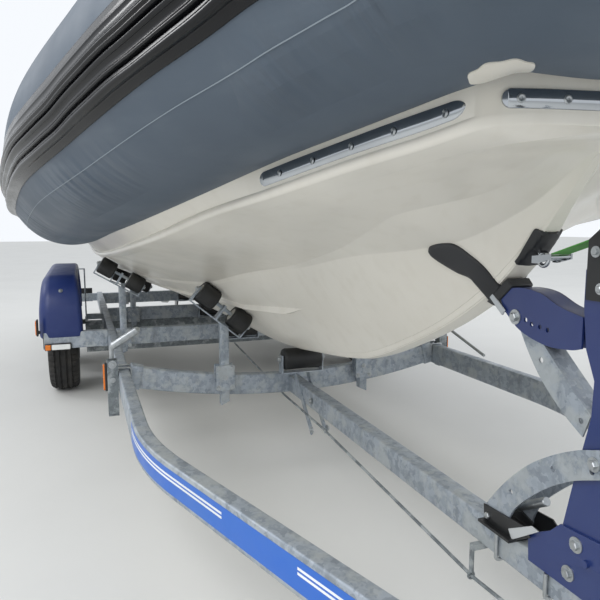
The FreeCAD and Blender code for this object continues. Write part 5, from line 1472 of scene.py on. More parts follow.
@dataclass
class BowTrim:
    """Polished strips with their screws, and the towing eye with its shackle."""

    side_aft: tuple[float, ...] = (474, 380, 286, 192, 98)
    front_y: tuple[float, ...] = (0.304, 0.225, 0.145, 0.065)

    def build(self) -> None:
        """Makes the strips, their screws, the eye and the pad round it."""
        self.strips()
        soften(STEEL, 0.0006, 2, "bow_eye")
        self.screws()
        self.pad()

    def pad(self) -> None:
        """Rubber pad over the stem round the eye: the hull's panels moved 6 mm outward."""
        aft = np.linspace(279, 351, 25)
        rows = hull_at(aft)[..., None]
        wide = 36 * np.sqrt(np.clip(1 - (np.clip(297 - aft, 0, 18) / 18.5) ** 2, 0.02, 1))
        y = wide[:, None] * np.linspace(-1, 1, 21)
        band, band_z, slope = bottom(rows)
        rise = (rows[:, 1] + (band_z - rows[:, 1]) * np.clip(np.abs(y) / band, 0, 1)
                + slope * np.clip(np.abs(y) - band, 0, None))
        x = np.broadcast_to(BOW_X - aft[:, None] / 1000, y.shape)
        skin = np.stack([x, y / 1000, KEEL_Z + rise / 1000], axis=-1)
        out = unit(np.cross(np.gradient(skin, axis=1), np.gradient(skin, axis=0)))
        out = out * np.sign(out[..., :1] + 1e-9)
        ring = np.concatenate([skin + out * 0.006, (skin - out * 0.003)[:, ::-1]], axis=1)
        Piece("eye_pad", bar(ring), SNUB, bevel=0.002).build()

    def strips(self) -> None:
        """Strips with half-round ends: the height shrinks as a half circle's chord does."""
        turn = np.linspace(0.02, np.pi / 2, 12)
        tall = np.concatenate([np.sin(turn), np.ones(40), np.sin(turn)[::-1]])[:, None]
        first, last, end = 71, 544, 17.5
        aft = np.concatenate([first + end - end * np.cos(turn), np.linspace(90, 526, 40),
                              last - end + end * np.cos(turn[::-1])])
        middle, rise, out = self.recess(aft)
        side = self.strip(middle, rise * 0.27 * tall, out)
        plan = hull_rows()
        plan = plan[plan[:, 0] <= FRONT_AFT]
        x = BOW_X - plan[:, 0] / 1000
        y = np.maximum(plan[:, 8] - 8, plan[:, 10]) / 1000
        line = np.stack([np.concatenate([x, x[::-1]]), np.concatenate([y, -y[::-1]])], axis=1)
        run = np.concatenate([[0], np.cumsum(np.linalg.norm(np.diff(line, axis=0), axis=1))])
        total = run[-1]
        near = 0.016 - 0.016 * np.cos(turn)
        at = np.concatenate([near, np.linspace(0.0165, total - 0.0165, 90), total - near[::-1]])
        tall = np.concatenate([np.sin(turn), np.ones(90), np.sin(turn)[::-1]])[:, None]
        spot = np.stack([np.interp(at, run, line[:, 0]), np.interp(at, run, line[:, 1]),
                         np.full(len(at), FRONT_Z)], axis=1)
        along = tangents(spot)
        out = np.stack([-along[:, 1], along[:, 0], 0 * at], axis=1)
        front = self.strip(spot, np.array([[0, 0, 0.0157]]) * tall, out)
        Piece("polished_strips", side.both() + front, STEEL, nodes=("bow_strips",),
              sharp=50).build()

    def recess(self, aft: Array) -> tuple[Array, Array, Array]:
        """The panel between bead and tube: strip's middle line, way up and way out at places.

        Args:
            aft: Distances aft of the bow face in millimetres.

        Returns:
            The middle of the strip's back, the panel's height as a vector, and the way out.
        """
        rows, zero = hull_at(aft), np.zeros(len(aft))
        foot = place_of(rows, rows[:, 8] - 8, rows[:, 9] + 22)
        rise = place_of(rows, rows[:, 10], rows[:, 11]) - foot
        return foot + rise * 0.34, rise, unit(np.stack([zero, rise[:, 2], -rise[:, 1]], axis=1))

    def strip(self, middle: Array, half: Array, out: Array) -> Surface:
        """A flat bar 4.5 mm thick with chamfered edges, row by row along its middle line.

        Args:
            middle: Points of its back's middle line.
            half: From there to its upper edge.
            out: Outward directions.

        Returns:
            The closed bar.
        """
        steps = ((-1, 0.0), (-1, 0.0035), (-0.94, 0.0045), (0.94, 0.0045), (1, 0.0035), (1, 0.0))
        ring = [middle + half * high + out * far for high, far in steps]
        return bar(np.stack(ring, axis=1))

    def screws(self) -> None:
        """Countersunk screws: a raised ring round a dished middle with a small recess."""
        shape = [(0, 0.0), (0.0018, 0.0), (0.0022, 0.0014), (0.0055, 0.0021), (0.0066, 0.0008),
                 (0.0072, 0.0008), (0.0078, 0.0002), (0.0078, -0.001), (0, -0.001)]
        middle, _, outward = self.recess(np.array(sorted(self.side_aft), float))
        screws = [revolve(shape, spot + out * STRIP_THICK, out, 24)
                  for spot, out in zip(middle, outward)]
        plan = hull_rows()
        plan = plan[plan[:, 0] <= FRONT_AFT][::-1]
        edge = np.maximum(plan[:, 8] - 8, plan[:, 10])
        for y in self.front_y:
            aft, ahead = np.interp([y * 1000, y * 1000 - 5], edge, plan[:, 0])
            out = unit(np.array([5.0, aft - ahead, 0]))
            spot = np.array([BOW_X - aft / 1000, y, FRONT_Z]) + out * STRIP_THICK
            screws.append(revolve(shape, spot, out, 24))
        Piece("strip_screws", joined(screws).both(), BOLT, sharp=50).build()


@dataclass
class Outboard:
    """Outboard engine: bracket, swivel, leg, cowl with its line, propeller."""

    squareness: float = 2 / 4.2
    line_row: int = 14

    def build(self) -> None:
        """Makes the engine's rounded pieces and the lines on its cowl."""
        soften(ENGINE, 0.004, 3, "engine_bracket", "engine_swivel")
        soften(ENGINE, 0.006, 3, "engine_leg")
        self.cowl()
        soften(BOLT, 0.0015, 2, "propeller")

    def cowl(self) -> None:
        """The cowl: squarish rings of (height, back, front, half width), smoothed upwards.

        Around a ring, x and y are the signed powers of a circle's cosine and sine.
        """
        table = curve_through([
            (1.2853, -3.9775, -3.5095, 0.190), (1.300, -3.990, -3.502, 0.199),
            (1.400, -4.047, -3.4955, 0.200), (1.500, -4.056, -3.4925, 0.200),
            (1.600, -4.055, -3.4925, 0.198), (1.690, -4.050, -3.505, 0.192),
            (1.745, -4.020, -3.525, 0.178), (1.790, -3.965, -3.552, 0.158),
            (1.822, -3.900, -3.60, 0.128), (1.840, -3.83, -3.66, 0.085),
            (1.845, -3.76, -3.72, 0.03)], 8)
        ring = circle(1.0, 96)
        cx, cy = (np.sign(ring) * np.abs(ring) ** self.squareness).T
        middle, half = (table[:, 1] + table[:, 2]) / 2, (table[:, 2] - table[:, 1]) / 2
        points = np.stack(np.broadcast_arrays(middle[:, None] + half[:, None] * cx,
                                              table[:, 3:4] * cy, table[:, :1]), axis=-1)
        Piece("cowl_shell", bar(points), COWL, "engine", ("engine_cowl",)).build()
        ring = points[self.line_row]
        out, up = unit(ring - ring.mean(axis=0)), np.array([0, 0, 0.003])
        low, high = ring + out * 0.0008, ring + out * 0.0020
        band = np.stack([low - up, high - up, high + up, low + up], axis=1)
        Piece("cowl_line", loop(band), BOLT, "engine").build()


# The trailer

RAIL_Y, RAIL_BACK, BEND_X, BEND_RADIUS, BEND = 0.821, -3.2695, 0.8505, 1.25, 0.32118
BEAM_FACES = (0.0755, -1.0095, -1.9995, -3.1195)
WHEEL_Y = 1.110


def rail_path(start: float = RAIL_BACK) -> Array:
    """Middle of the port rail from a place aft of the bend to the drawbar's nose.

    Args:
        start: Where the path begins along the trailer.

    Returns:
        Points along the rail.
    """
    turn = np.linspace(0, BEND, 24)
    bend = np.stack([BEND_X + BEND_RADIUS * np.sin(turn),
                     RAIL_Y - BEND_RADIUS * (1 - np.cos(turn)), np.full(24, 0.40)], axis=1)
    return np.vstack([[(start, RAIL_Y, 0.40)], bend, [(3.4305, 0.030, 0.40)]])


@dataclass
class Chassis:
    """Side rails with their painted stripe, the spine and the cross beams."""

    stripe_start: float = 0.80
    pin_end: float = 1.505
    pin_again: float = 1.783

    def build(self) -> None:
        """Makes the rails, spine, beams, sleeves and bolts."""
        port = sweep(rail_path(), rounded(0.048, 0.100, 0.007))
        Piece("rail_port_tube", port, ZINC, nodes=("rail_port",)).build()
        Piece("rail_starboard_tube", port.mirrored(), ZINC, nodes=("rail_starboard",)).build()
        self.stripes()
        spine = sweep(np.array([(BEAM_FACES[0], 0, 0.31), (3.7155, 0, 0.31)]),
                      rounded(0.060, 0.080, 0.007))
        Piece("spine_tube", spine, ZINC, nodes=("spine",)).build()
        self.front_beam()
        soften(ZINC, 0.005, 3, "cross_beams")
        self.caps()
        self.fasteners()

    def stripes(self) -> None:
        """Blue stripe on the rails' outer faces, with two thin white lines along it."""
        path = rail_path(self.stripe_start)
        outside = 0.0242
        band = np.array([(outside - 0.001, -0.035), (outside + 0.0004, -0.035),
                         (outside + 0.0004, 0.035), (outside - 0.001, 0.035)])
        Piece("rail_stripes", sweep(path, band).both(), STRIPE).build()
        lines = []
        for low in (0.002, 0.013):
            thin = np.array([(outside, low), (outside + 0.0007, low),
                             (outside + 0.0007, low + 0.006), (outside, low + 0.006)])
            for first, last in ((self.stripe_start + 0.02, self.pin_end), (self.pin_again, 3.40)):
                lines.append(sweep(self.stretch(path, first, last), thin))
        Piece("pinstripes", joined(lines).both(), PINSTRIPE).build()

    def stretch(self, path: Array, first: float, last: float) -> Array:
        """The run of a path between two places along the trailer."""
        x = np.concatenate([[first], path[(path[:, 0] > first) & (path[:, 0] < last), 0], [last]])
        return np.stack([x, np.interp(x, path[:, 0], path[:, 1]), np.full(len(x), 0.40)], axis=1)

    def front_beam(self) -> None:
        """The dipped front beam, and the sleeves over its ends."""
        share = np.linspace(-1, 1, 61)
        path = np.stack([np.full(61, 0.0505), 0.797 * share, 0.315 + 0.097 * share ** 2], axis=1)
        beam = sweep(path, rounded(0.050, 0.100, 0.008))
        Piece("front_beam_tube", beam, ZINC, nodes=("front_beam",)).build()
        sleeve = sweep(path[path[:, 1] > 0.722], rounded(0.062, 0.112, 0.008))
        Piece("front_beam_sleeves", sleeve.both(), ZINC, bevel=0.0015).build()

    def caps(self) -> None:
        """Black plugs in the open ends of the rails, the spine and the second beam."""
        parts = [block((RAIL_BACK - 0.004, RAIL_Y - 0.0225, 0.3515),
                       (RAIL_BACK + 0.004, RAIL_Y + 0.0225, 0.4485)).both(),
                 block((3.712, -0.0285, 0.2715), (3.7195, 0.0285, 0.3485)),
                 block((-1.058, 1.208, 0.3515), (-1.011, 1.2148, 0.4485)).both()]
        Piece("tube_plugs", joined(parts), KNOB, bevel=0.002).build()

    def fasteners(self) -> None:
        """U-bolts round the spine, and bolts where the beams meet the rails."""
        parts = []
        for x, top in ((1.6905, 0.352), (1.8605, 0.325)):
            bend = rounded_path([(x, -0.0355, top), (x, -0.0355, 0.2635), (x, 0.0355, 0.2635),
                                 (x, 0.0355, top)], 0.010, 6)
            parts.append(sweep(bend, circle(0.005, 12), up=(1, 0, 0)))
        for face in BEAM_FACES[1:]:
            for y in (-0.745, -0.700, 0.700, 0.745):
                parts.append(hexagon_bolt((face + 0.0002, y, 0.378), (1, 0, 0), 0.013))
        for x in (0.02, 0.082):
            strap = rounded_path([(x, 0.789, 0.42), (x, 0.789, 0.4545), (x, 0.853, 0.4545),
                                  (x, 0.853, 0.36)], 0.008, 5)
            parts.append(sweep(strap, circle(0.005, 12), up=(1, 0, 0)).both())
        Piece("frame_bolts", joined(parts), BOLT).build()


@dataclass
class Rollers:
    """Side rollers in swinging pairs, keel rollers, and the posts that carry them."""

    side: tuple[tuple[float, float, float, float, float], ...] = (
        (0.1015, 0.2888, 0.6486, 0.7728, 0.6347), (0.1015, 0.4356, 0.7692, 0.7728, 0.6347),
        (-0.9835, 0.6687, 0.7399, 0.8572, 0.5150), (-0.9835, 0.8316, 0.8378, 0.8572, 0.5150),
        (-1.9735, 0.5229, 0.6334, 0.9185, 0.3955), (-1.9735, 0.6974, 0.7086, 0.9185, 0.3955),
        (-3.0935, 0.5224, 0.6270, 0.9229, 0.3852), (-3.0935, 0.6978, 0.7002, 0.9229, 0.3852))
    keel: tuple[tuple[float, float], ...] = ((0.1805, 0.4597), (-0.9435, 0.4236),
                                             (-1.9335, 0.4227), (-3.0535, 0.4227))
    posts: tuple[tuple[float, float, float, float], ...] = (
        (0.0755, 0.3622, 0.318, 0.440), (-1.0095, 0.7502, 0.342, 0.458),
        (-1.9995, 0.6101, 0.342, 0.458), (-3.1195, 0.6101, 0.342, 0.458))

    def build(self) -> None:
        """Makes the drums, their pale faces, the posts, brackets and bolts."""
        half, long_half = 0.048, 0.095
        drum = [(0.0095, -half + 0.003), (0.030, -half + 0.003), (0.032, -half), (0.043, -half),
                (0.0485, -half + 0.0025), (0.0513, -half + 0.007), (0.052, -half + 0.013)]
        drum += [(radius, -place) for radius, place in drum[::-1]]
        face = [(0.0100, half - 0.0035), (0.0305, half - 0.0035), (0.0305, half - 0.0014),
                (0.013, half - 0.0010), (0.0100, half - 0.0015)]
        other = [(radius, -place) for radius, place in face]
        drums, faces = [], []
        for x, y, z, ay, az in self.side:
            drums.append(revolve(drum, (x, y, z), (0, ay, az), 48))
            faces += [revolve(rim, (x, y, z), (0, ay, az), 32) for rim in (face, other)]
        shape = [(0.0095, -long_half), (0.040, -long_half), (0.048, -long_half + 0.003),
                 (0.052, -long_half + 0.012), (0.0505, -0.03), (0.050, 0.0), (0.0505, 0.03),
                 (0.052, long_half - 0.012), (0.048, long_half - 0.003), (0.040, long_half),
                 (0.0095, long_half)]
        keel = [revolve(shape, (x, 0, z), (0, 1, 0), 48) for x, z in self.keel]
        Piece("roller_drums", joined(drums).both() + joined(keel), ROLLER,
              nodes=("rollers",), sharp=50).build()
        Piece("roller_faces", joined(faces).both(), NYLON).build()
        soften(ZINC, 0.0016, 2, "roller_posts")
        soften(ZINC, 0.0012, 2, "roller_brackets")
        self.bolts()

    def bolts(self) -> None:
        """Four bolts in every post's clamp, and nuts on the pins."""
        parts = []
        for face, y, low, high in self.posts:
            for dy in (-0.033, 0.033):
                for z in (low + 0.014, high - 0.014):
                    parts.append(hexagon_bolt((face + 0.0517, y + dy, z), (1, 0, 0), 0.013))
            parts.append(hexagon_bolt((face + 0.0517, y, (low + high) / 2), (1, 0, 0), 0.013))
        for first, second in np.array(self.side).reshape(-1, 2, 5):
            along = np.array([0, first[3], first[4]])
            for middle, sign in ((first[:3], -1), (second[:3], 1)):
                parts.append(hexagon_bolt(middle + sign * along * 0.0575, along * sign, 0.017))
        bars = paired_bolts([(0.4205, 0.183), (0.4005, 0.31)], 0.0365, 0.015)
        pins = paired_bolts(self.keel, 0.1095, 0.018)
        Piece("roller_bolts", joined(parts).both() + bars + pins, BOLT).build()


@dataclass
class WinchPost:
    """Winch post with its cheeks, arch, strut, bow stop and winch."""

    def build(self) -> None:
        """Makes every piece round the post."""
        soften(BLUE, 0.002, 2, "winch_post")
        self.stop()
        soften(BLACK, 0.0012, 2, "winch_frame")
        soften(BOLT, 0.0015, 2, "winch_drum")
        soften(STRAP, 0.0006, 2, "winch_strap")
        soften(BLACK, 0.0012, 2, "brace_foot")
        self.arch()
        self.strut()
        self.arm()
        self.small()

    def stop(self) -> None:
        """Rubber bow stop: a block on the arm's end, and a domed leaf up each side of the stem.

        A leaf's rows are its outline drawn in towards its middle by shares, each at its depth.
        """
        across, stem = unit(np.array([-115, 158, 112.0])), unit(np.array([0.18, 0, 0.16]))
        into = unit(-np.cross(across, stem))
        origin = np.array([1.63579, 0.030, 0.92519])
        flat = np.array([(-10, 22), (26, 42), (60, 58), (102, 68), (149, 73), (182, 56), (198, 24),
                         (184, 4), (113, 0), (74, 6), (46, -4), (6, -21), (-10, -24)]) / 1000
        edge = curve_through(np.vstack([flat[-3:], flat, flat[:3]]), 6)[18:96]
        middle, rows = np.array([0.095, 0.030]), []
        for share, deep in ((1, 0.045), (1, 0.010), (0.985, 0.005), (0.95, 0.0015), (0.86, 0),
                            (0.5, -0.003), (0.03, -0.004)):
            spot = middle + (edge - middle) * share
            rows.append(origin + spot[:, :1] * across + spot[:, 1:] * stem + into * deep)
        Piece("stop_leaves", bar(np.stack(rows)).both(), SNUB, nodes=("snubber",),
              sharp=60).build()
        heart = [(1.6833, 0.9741), (1.6086, 0.9077), (1.6393, 0.9002), (1.7021, 0.9560)]
        Piece("stop_block", plate(heart, Axis.Y, -0.034, 0.034), SNUB, bevel=0.005,
              segments=3).build()

    def arch(self) -> None:
        """Pair of curved galvanised braces from the saddle to the mast, with holes."""
        outer = curve_through([(-1.202, 0.366), (-1.194, 0.399), (-1.137, 0.473), (-1.062, 0.548),
                               (-0.993, 0.598), (-0.930, 0.633), (-0.877, 0.654),
                               (-0.822, 0.672)], 5)
        inner = curve_through([(-0.822, 0.614), (-0.858, 0.599), (-0.926, 0.569),
                               (-0.988, 0.529), (-1.035, 0.490), (-1.091, 0.433),
                               (-1.117, 0.383), (-1.119, 0.366)], 5)
        holes = behind([(-1.108, 0.466), (-0.980, 0.574), (-0.876, 0.609)])
        ends = behind([(-1.184, 0.372), (-0.872, 0.626)])
        near, far = 0.0363, 0.0423
        plates = pierced(behind(np.vstack([outer, inner])), holes, 0.0065, near, far)
        x, z = ends[1]
        Piece("arch_plates", plates + rod((x, -far, z), (x, far, z), 0.006), ZINC,
              nodes=("post_braces",)).build()
        Piece("arch_bolts", paired_bolts(ends, far, 0.016), BOLT).build()

    def channel(self, upper: Array, lower: Array, holes: Sequence[Sequence[float]],
                hole: float, near: float, far: float) -> Surface:
        """Curved channel: two pierced webs, and a 4 mm plate between them on the upper edge.

        Args:
            upper: Upper edge of a web seen from the side.
            lower: Its lower edge, going back.
            holes: Middles of the holes.
            hole: Radius of a hole.
            near: Inner face of a web.
            far: Its outer face; the plate ends half a millimetre inside it.

        Returns:
            The channel.
        """
        webs = pierced(behind(np.vstack([upper, lower])), behind(holes), hole, near, far)
        line = np.insert(np.array(behind(upper)), 1, 0, axis=1)
        run = tangents(line)
        inward = np.stack([run[:, 2], run[:, 1], -run[:, 0]], axis=1) * 0.004
        across = np.array([0, far - 0.0005, 0])
        ring = [line - across, line + across, line + across + inward, line - across + inward]
        return webs + bar(np.stack(ring, axis=1))

    def strut(self) -> None:
        """Curved channel between the bow stop's arm and the mast."""
        upper = curve_through([(-0.904, 0.711), (-0.946, 0.744), (-1.003, 0.793),
                               (-1.062, 0.845)], 6)
        lower = curve_through([(-1.119, 0.853), (-1.088, 0.806), (-1.043, 0.753),
                               (-0.979, 0.700), (-0.921, 0.664)], 6)
        holes = [(-1.049, 0.799), (-0.927, 0.697)]
        Piece("strut_channel", self.channel(upper, lower, holes, 0.0065, 0.022, 0.026),
              ZINC).build()

    def arm(self) -> None:
        """Blue curved channel that carries the bow stop."""
        upper = curve_through([(-1.196, 0.930), (-1.170, 0.946), (-1.125, 0.954),
                               (-1.063, 0.949), (-1.002, 0.926), (-0.936, 0.912)], 6)
        lower = curve_through([(-0.936, 0.846), (-0.967, 0.838), (-1.039, 0.835),
                               (-1.121, 0.855), (-1.181, 0.896)], 6)
        holes = [(-1.103, 0.882), (-1.083, 0.875), (-1.057, 0.873), (-1.033, 0.870)]
        Piece("arm_channel", self.channel(upper, lower, holes, 0.0055, 0.0225, 0.0275), BLUE,
              nodes=("snubber_arm",)).build()
        Piece("arm_bolts", paired_bolts(behind([(-1.137, 0.884)]), 0.0275, 0.019), BOLT).build()

    def small(self) -> None:
        """Clevis plate, blank label, cheek bolts, pin and winch bolts."""
        ends = np.array(behind([(-1.231, 0.933), (-1.172, 0.889)]))
        run = unit(ends[1] - ends[0])
        side = np.array([-run[1], run[0]]) * 0.009
        outline = [ends[0] + side, ends[1] + side, ends[1] - side, ends[0] - side]
        Piece("clevis_plates", plate(outline, Axis.Y, -0.0345, -0.0295).both(), STEEL,
              bevel=0.002).build()
        label = behind([(-1.105, 0.376), (-1.031, 0.419), (-1.008, 0.416), (-1.091, 0.355)])
        Piece("blank_label", plate(label, Axis.Y, -0.0485, -0.0432), LABEL, bevel=0.001).build()
        black = behind([(-1.202, 0.396), (-1.196, 0.338), (-1.108, 0.341), (-1.034, 0.388),
                        (-1.06, 0.405)])
        Piece("foot_plates", plate(black, Axis.Y, 0.0424, 0.0464).both(), BLACK,
              bevel=0.001).build()
        cheek = paired_bolts(behind([(-0.910, 0.435), (-0.927, 0.362), (-0.760, 0.362),
                                     (-0.760, 0.425)]), 0.036, 0.018)
        winch = paired_bolts(behind([(-0.905, 1.047), (-0.889, 0.975)]), 0.0363, 0.012)
        low, high = np.insert(np.array(behind([(-1.127, 0.413), (-1.036, 0.468)])), 1, 0, axis=1)
        Piece("post_bolts", cheek + winch + rod(low, high, 0.011), BOLT).build()


@dataclass
class Running:
    """Axles, wheels, mudguards and lamps."""

    def build(self) -> None:
        """Makes the running gear."""
        soften(ZINC_DARK, 0.004, 3, "axles")
        self.wheels()
        self.guards()
        self.lamps()

    def wheels(self) -> None:
        """Tyres with ribs and shoulder blocks on steel rims, at all four places."""
        for end, x in (("front", -1.4445), ("rear", -2.2245)):
            for side, sign in (("starboard", -1), ("port", 1)):
                name, centre = f"{end}_{side}", (x, sign * WHEEL_Y, 0.325)
                Piece(f"tread_{name}", self.tyre(centre), TYRE, f"wheel_{name}",
                      (f"tyre_{name}",), sharp=40).build()
                soften(WHEEL, 0.003, 3, f"rim_{name}")
                spots = np.insert(circle(0.050, 5), 1, sign * 0.0458, axis=1) + centre
                parts = [hexagon_bolt(spot, (0, sign, 0), 0.017) for spot in spots]
                hub = [(0, 0.044), (0.027, 0.044), (0.025, 0.066), (0.018, 0.072), (0, 0.073)]
                parts.append(revolve(hub, centre, (0, sign, 0), 28))
                Piece(f"wheel_nuts_{name}", joined(parts), BOLT, f"wheel_{name}").build()

    def guards(self) -> None:
        """Moulded guards: the side outline carried across, drawn in round both edges.

        Across a guard the outline moves inward by r (1 - cos t) while it moves sideways by
        r (1 - sin t), and the upper part is narrower than the foot.
        """
        front, back, low, top, turn = -1.0033, -2.6244, 0.4020, 0.7849, 0.220
        arc = np.linspace(0, np.pi / 2, 14)
        cosine, sine = turn * np.cos(arc), turn * np.sin(arc)
        first = np.stack([front - turn + cosine, top - turn + sine], axis=1)
        last = np.stack([back + turn - sine, top - turn + cosine], axis=1)
        foot = np.array([(front - 0.016, low), (front - 0.005, low + 0.02), (front, low + 0.06)])
        line = np.vstack([foot, first, last, [(back, low)]])
        run = tangents(np.insert(line, 1, 0, axis=1))
        inward = np.stack([-run[:, 2], run[:, 0]], axis=1)
        inside, outside, edge, shoulder, wall = 0.985, 1.2349, 0.030, 0.065, 0.005
        t = np.linspace(np.pi / 2, 0, 9)
        y = np.concatenate([inside + edge * (1 - np.sin(t)),
                            outside - shoulder * (1 - np.sin(t[::-1])), [outside]])
        move = np.concatenate([edge * (1 - np.cos(t)), shoulder * (1 - np.cos(t[::-1])),
                               [shoulder + 2 * wall]])
        y, move = np.concatenate([y, y[::-1]]), np.concatenate([move, move[::-1] + wall])
        taper = 1 - 0.13 * np.clip((line[:, 1] - 0.50) / 0.28, 0, 1) ** 1.5
        wide = WHEEL_Y + (y - WHEEL_Y) * taper[:, None]
        spot = line[:, None] + inward[:, None] * move[None, :, None]
        points = np.stack([spot[..., 0], wide, spot[..., 1]], axis=-1)
        Piece("guard_shells", bar(points).both(), GUARD, nodes=("mudguards",), sharp=50).build()

    def tyre(self, centre: Sequence[float]) -> Surface:
        """A tyre: four grooves round the tread, and shoulder blocks cut every 7.5 degrees.

        Args:
            centre: Middle of the wheel.

        Returns:
            The tyre, turned about the Y axis.
        """
        side = [(0.1785, 0.0700), (0.200, 0.0845), (0.228, 0.0905), (0.258, 0.0925),
                (0.285, 0.0912), (0.300, 0.086), (0.3105, 0.0775), (0.3165, 0.0660)]
        tread = []
        for edge in (0.050, 0.018):
            tread += [(0.3225, edge + 0.006), (0.3155, edge + 0.004), (0.3155, edge - 0.004),
                      (0.3238, edge - 0.006)]
        half = side + tread
        profile = np.array(half + [(r, -w) for r, w in half[::-1]])
        steps = 384
        angle = turns(steps)
        radius = np.broadcast_to(profile[:, 0], (steps, len(profile))).copy()
        cut = (np.arange(steps) % 8) < 2
        shoulder = (np.abs(profile[:, 1]) > 0.052) & (profile[:, 0] > 0.305)
        radius[np.ix_(cut, shoulder)] -= 0.0065
        points = np.stack([radius * np.cos(angle)[:, None],
                           np.broadcast_to(profile[:, 1], radius.shape),
                           radius * np.sin(angle)[:, None]], axis=-1)
        return loop(points + np.asarray(centre))

    def lamps(self) -> None:
        """Front markers, side markers, tail lamps and amber reflectors in black frames."""
        front, back, lens = -1.0092, -3.3598, -3.338
        black = [block((front, 1.057, 0.346), (front + 0.022, 1.207, 0.386)).both(),
                 block((back + 0.018, 0.887, 0.356), (-3.3100, 1.145, 0.484)).both(),
                 block((-1.012, 1.236, 0.440), (-0.972, 1.247, 0.538)).both(),
                 block((-1.002, 1.225, 0.452), (-0.982, 1.240, 0.470)).both()]
        Piece("lamp_housings", joined(black), KNOB, nodes=("lamps",), bevel=0.003).build()
        white = block((front + 0.018, 1.062, 0.350), (front + 0.031, 1.168, 0.382)).both()
        Piece("front_lenses", white, CLEAR, bevel=0.005, segments=3).build()
        amber = [block((front + 0.018, 1.173, 0.350), (front + 0.031, 1.203, 0.382)).both(),
                 block((-1.009, 1.245, 0.446), (-0.975, 1.252, 0.532)).both(),
                 block((back, 0.892, 0.361), (lens, 0.965, 0.479)).both(),
                 block((0.0985, -0.9115, 0.370), (0.1225, -0.8990, 0.486)),
                 block((0.0385, 0.8990, 0.370), (0.0625, 0.9115, 0.486))]
        Piece("amber_lenses", joined(amber), AMBER, nodes=("amber_reflectors",),
              bevel=0.003, segments=3).build()
        red = [block((back, 0.967, 0.361), (lens, 1.070, 0.479)).both(),
               block((back, 1.072, 0.361), (lens, 1.140, 0.479)).both()]
        Piece("red_lenses", joined(red), RED, bevel=0.004, segments=3).build()
        frames = [block((0.0955, -0.9040, 0.366), (0.1255, -0.8937, 0.490)),
                  block((0.0355, 0.8937, 0.366), (0.0655, 0.9040, 0.490))]
        Piece("reflector_backs", joined(frames), KNOB, bevel=0.002).build()
        bolt = hexagon_bolt((-1.0496, 1.105, 0.700), (0.789, 0, 0.614), 0.014)
        Piece("guard_bolts", bolt.both(), BOLT).build()


@dataclass
class Fittings:
    """Prop stands, jockey wheel, coupling and brake rod, with levers and rubber parts."""

    def build(self) -> None:
        """Makes the small gear of the drawbar and the rails."""
        soften(ZINC_DARK, 0.002, 2, "stand_sleeves")
        soften(ZINC_DARK, 0.001, 2, "stand_leg_starboard", "stand_leg_port")
        soften(ZINC, 0.0015, 2, "jockey_tube")
        soften(ZINC, 0.0012, 2, "jockey_fork")
        soften(ROLLER, 0.0, 2, "jockey_wheel")
        soften(BLACK, 0.003, 3, "coupling")
        soften(ZINC_DARK, 0.0, 2, "brake_rod")
        self.levers()
        self.bellows()

    def levers(self) -> None:
        """Handles of the prop stands, and the bolts that clamp them."""
        lever = rounded_path([(0.1105, -0.872, 0.470), (0.1105, -0.872, 0.560),
                              (0.1105, -0.760, 0.630)], 0.02, 6)
        other = rounded_path([(0.0505, 0.871, 0.54), (0.0705, 0.871, 0.556),
                              (0.4305, 0.871, 0.4565)], 0.012, 6)
        size = np.linspace(1.0, 1.9, len(lever))[:, None, None]
        along = tangents(lever)
        side = unit(np.cross([1.0, 0, 0], along))
        section = rounded(0.012, 0.018, 0.005, 4)[None]
        points = lever[:, None] + size * (section[..., 1:] * side[:, None]
                                          + section[..., :1] * np.array([1.0, 0, 0]))
        knob = [(0, -0.016), (0.012, -0.011), (0.017, 0), (0.012, 0.011), (0, 0.016)]
        rods = [bar(points), revolve(knob, lever[-1], (0, 0.78, 0.62), 24),
                sweep(other, circle(0.0075, 14), up=(0, 1, 0))]
        Piece("stand_handles", joined(rods), BOLT).build()
        bolts = [hexagon_bolt((0.1332, -0.871, 0.486), (1, 0, 0), 0.019),
                 hexagon_bolt((0.0732, 0.871, 0.545), (1, 0, 0), 0.019),
                 hexagon_bolt((0.1332, -0.871, 0.415), (1, 0, 0), 0.012)]
        Piece("stand_bolts", joined(bolts), BOLT).build()

    def bellows(self) -> None:
        """Ribbed rubber gaiter on the coupling's shaft, and grips on both levers."""
        s = np.linspace(0, 0.110, 57)
        ribs = 0.0325 + 0.0055 * np.abs(np.sin(s / 0.110 * np.pi * 7))
        profile = np.vstack([[(0.0, 0.0)], np.stack([ribs, s], axis=1), [(0.0, 0.110)]])
        gaiter = revolve(profile, (3.7060, 0, 0.408), (1, 0, 0), 40)
        grip = rod((3.4860, -0.046, 0.650), (3.4500, -0.046, 0.685), 0.0135)
        Piece("coupling_rubber", gaiter + grip, KNOB, sharp=60).build()


# The set


def placing(right: Array, up: Array, back: Array, place: Sequence[float]) -> Matrix:
    """The matrix that sets a camera or lamp at a place, looking against its back axis."""
    return Matrix(np.vstack([np.stack([right, up, back, place], axis=1), [0, 0, 0, 1]]).tolist())


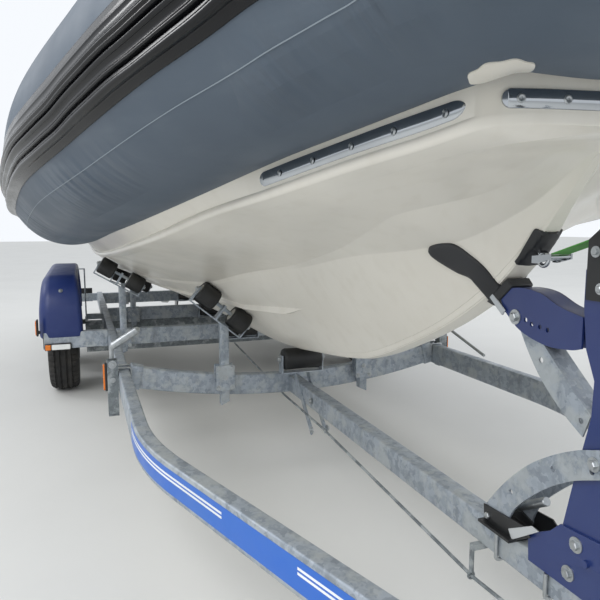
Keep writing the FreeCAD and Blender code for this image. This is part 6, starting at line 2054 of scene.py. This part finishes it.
@dataclass
class Studio:
    """Camera at the photograph's place, pale floor and soft lamps."""

    eye: tuple[float, float, float] = (2.8505, -0.984, 1.10)
    ahead: tuple[float, float, float] = (-0.9316, 0.341, -0.125)
    right: tuple[float, float, float] = (0.3437, 0.939, 0.0)
    lens: float = 36.0

    def build(self) -> None:
        """Makes the camera, the lamps, the world and the floor."""
        self.camera()
        self.lamps()
        self.floor()

    def camera(self) -> None:
        """Camera axes are the measured view: right, up square to it, and backwards."""
        ahead, right = unit(np.array(self.ahead)), np.array(self.right)
        right = unit(right - ahead * (right @ ahead))
        data = bpy.data.cameras.new("view")
        data.lens, data.sensor_width = self.lens, 36.0
        data.clip_start, data.clip_end = 0.05, 100.0
        camera = bpy.data.objects.new("view", data)
        camera.matrix_world = placing(right, np.cross(right, ahead), -ahead, self.eye)
        bpy.context.scene.collection.objects.link(camera)
        bpy.context.scene.camera = camera

    def lamps(self) -> None:
        """A pale sky and three soft lamps."""
        scene = bpy.context.scene
        scene.view_settings.view_transform = "Standard"
        world = bpy.data.worlds.new("sky")
        world.use_nodes = True
        tree = world.node_tree
        background = tree.nodes["Background"]
        background.inputs[0].default_value = (0.93, 0.96, 1.0, 1.0)
        paths = add_node(tree, "LightPath")
        seen = add_node(tree, "Math", {"operation": "MAXIMUM"},
                        {0: paths.outputs["Is Camera Ray"], 1: paths.outputs["Is Glossy Ray"]})
        through = add_node(tree, "Math", {"operation": "MAXIMUM"},
                           {0: seen.outputs[0], 1: paths.outputs["Is Transmission Ray"]})
        level = add_node(tree, "MapRange", {}, {"Value": through.outputs[0], "To Min": 0.94,
                                                "To Max": 1.0})
        tree.links.new(level.outputs["Result"], background.inputs[1])
        scene.world = world
        for name, place, aim, size, power in (
                ("key", (5.5, -5.0, 6.0), (0.5, 0, 0.8), 5.0, 360.0),
                ("fill", (1.0, 7.0, 5.0), (0, 0, 0.8), 6.0, 120.0),
                ("side", (-3.6, -6.6, 5.2), (1.6, -0.9, 1.5), 1.8, 90.0)):
            light = bpy.data.lights.new(name, "AREA")
            light.size, light.energy = size, power
            lamp = bpy.data.objects.new(name, light)
            back = unit(np.array(place) - np.array(aim))
            side = unit(np.cross([0, 0, 1], back))
            lamp.matrix_world = placing(side, np.cross(back, side), back, place)
            scene.collection.objects.link(lamp)

    def floor(self) -> None:
        """One flat pale slab of floor."""
        reach = 40.0
        corners = np.array([[[-reach, -reach, -0.002], [reach, -reach, -0.002]],
                            [[-reach, reach, -0.002], [reach, reach, -0.002]]])
        mesh = bpy.data.meshes.new("floor")
        mesh.from_pydata(corners.reshape(4, 3).tolist(), [], [(0, 1, 3, 2)])
        floor = bpy.data.objects.new("floor", mesh)
        mesh.materials.append(FLOOR.material())
        bpy.context.scene.collection.objects.link(floor)


def main() -> None:
    """Builds the set and every sub-assembly in turn."""
    logging.basicConfig(level=logging.INFO, format="%(message)s")
    Studio().build()
    for part in (Hull(), Collar(), BowTrim(), Cockpit(), Outboard(), Chassis(), Rollers(),
                 WinchPost(), Running(), Fittings()):
        part.build()
        LOG.info("built: %s", type(part).__name__)


if __name__ == "__main__":
    main()
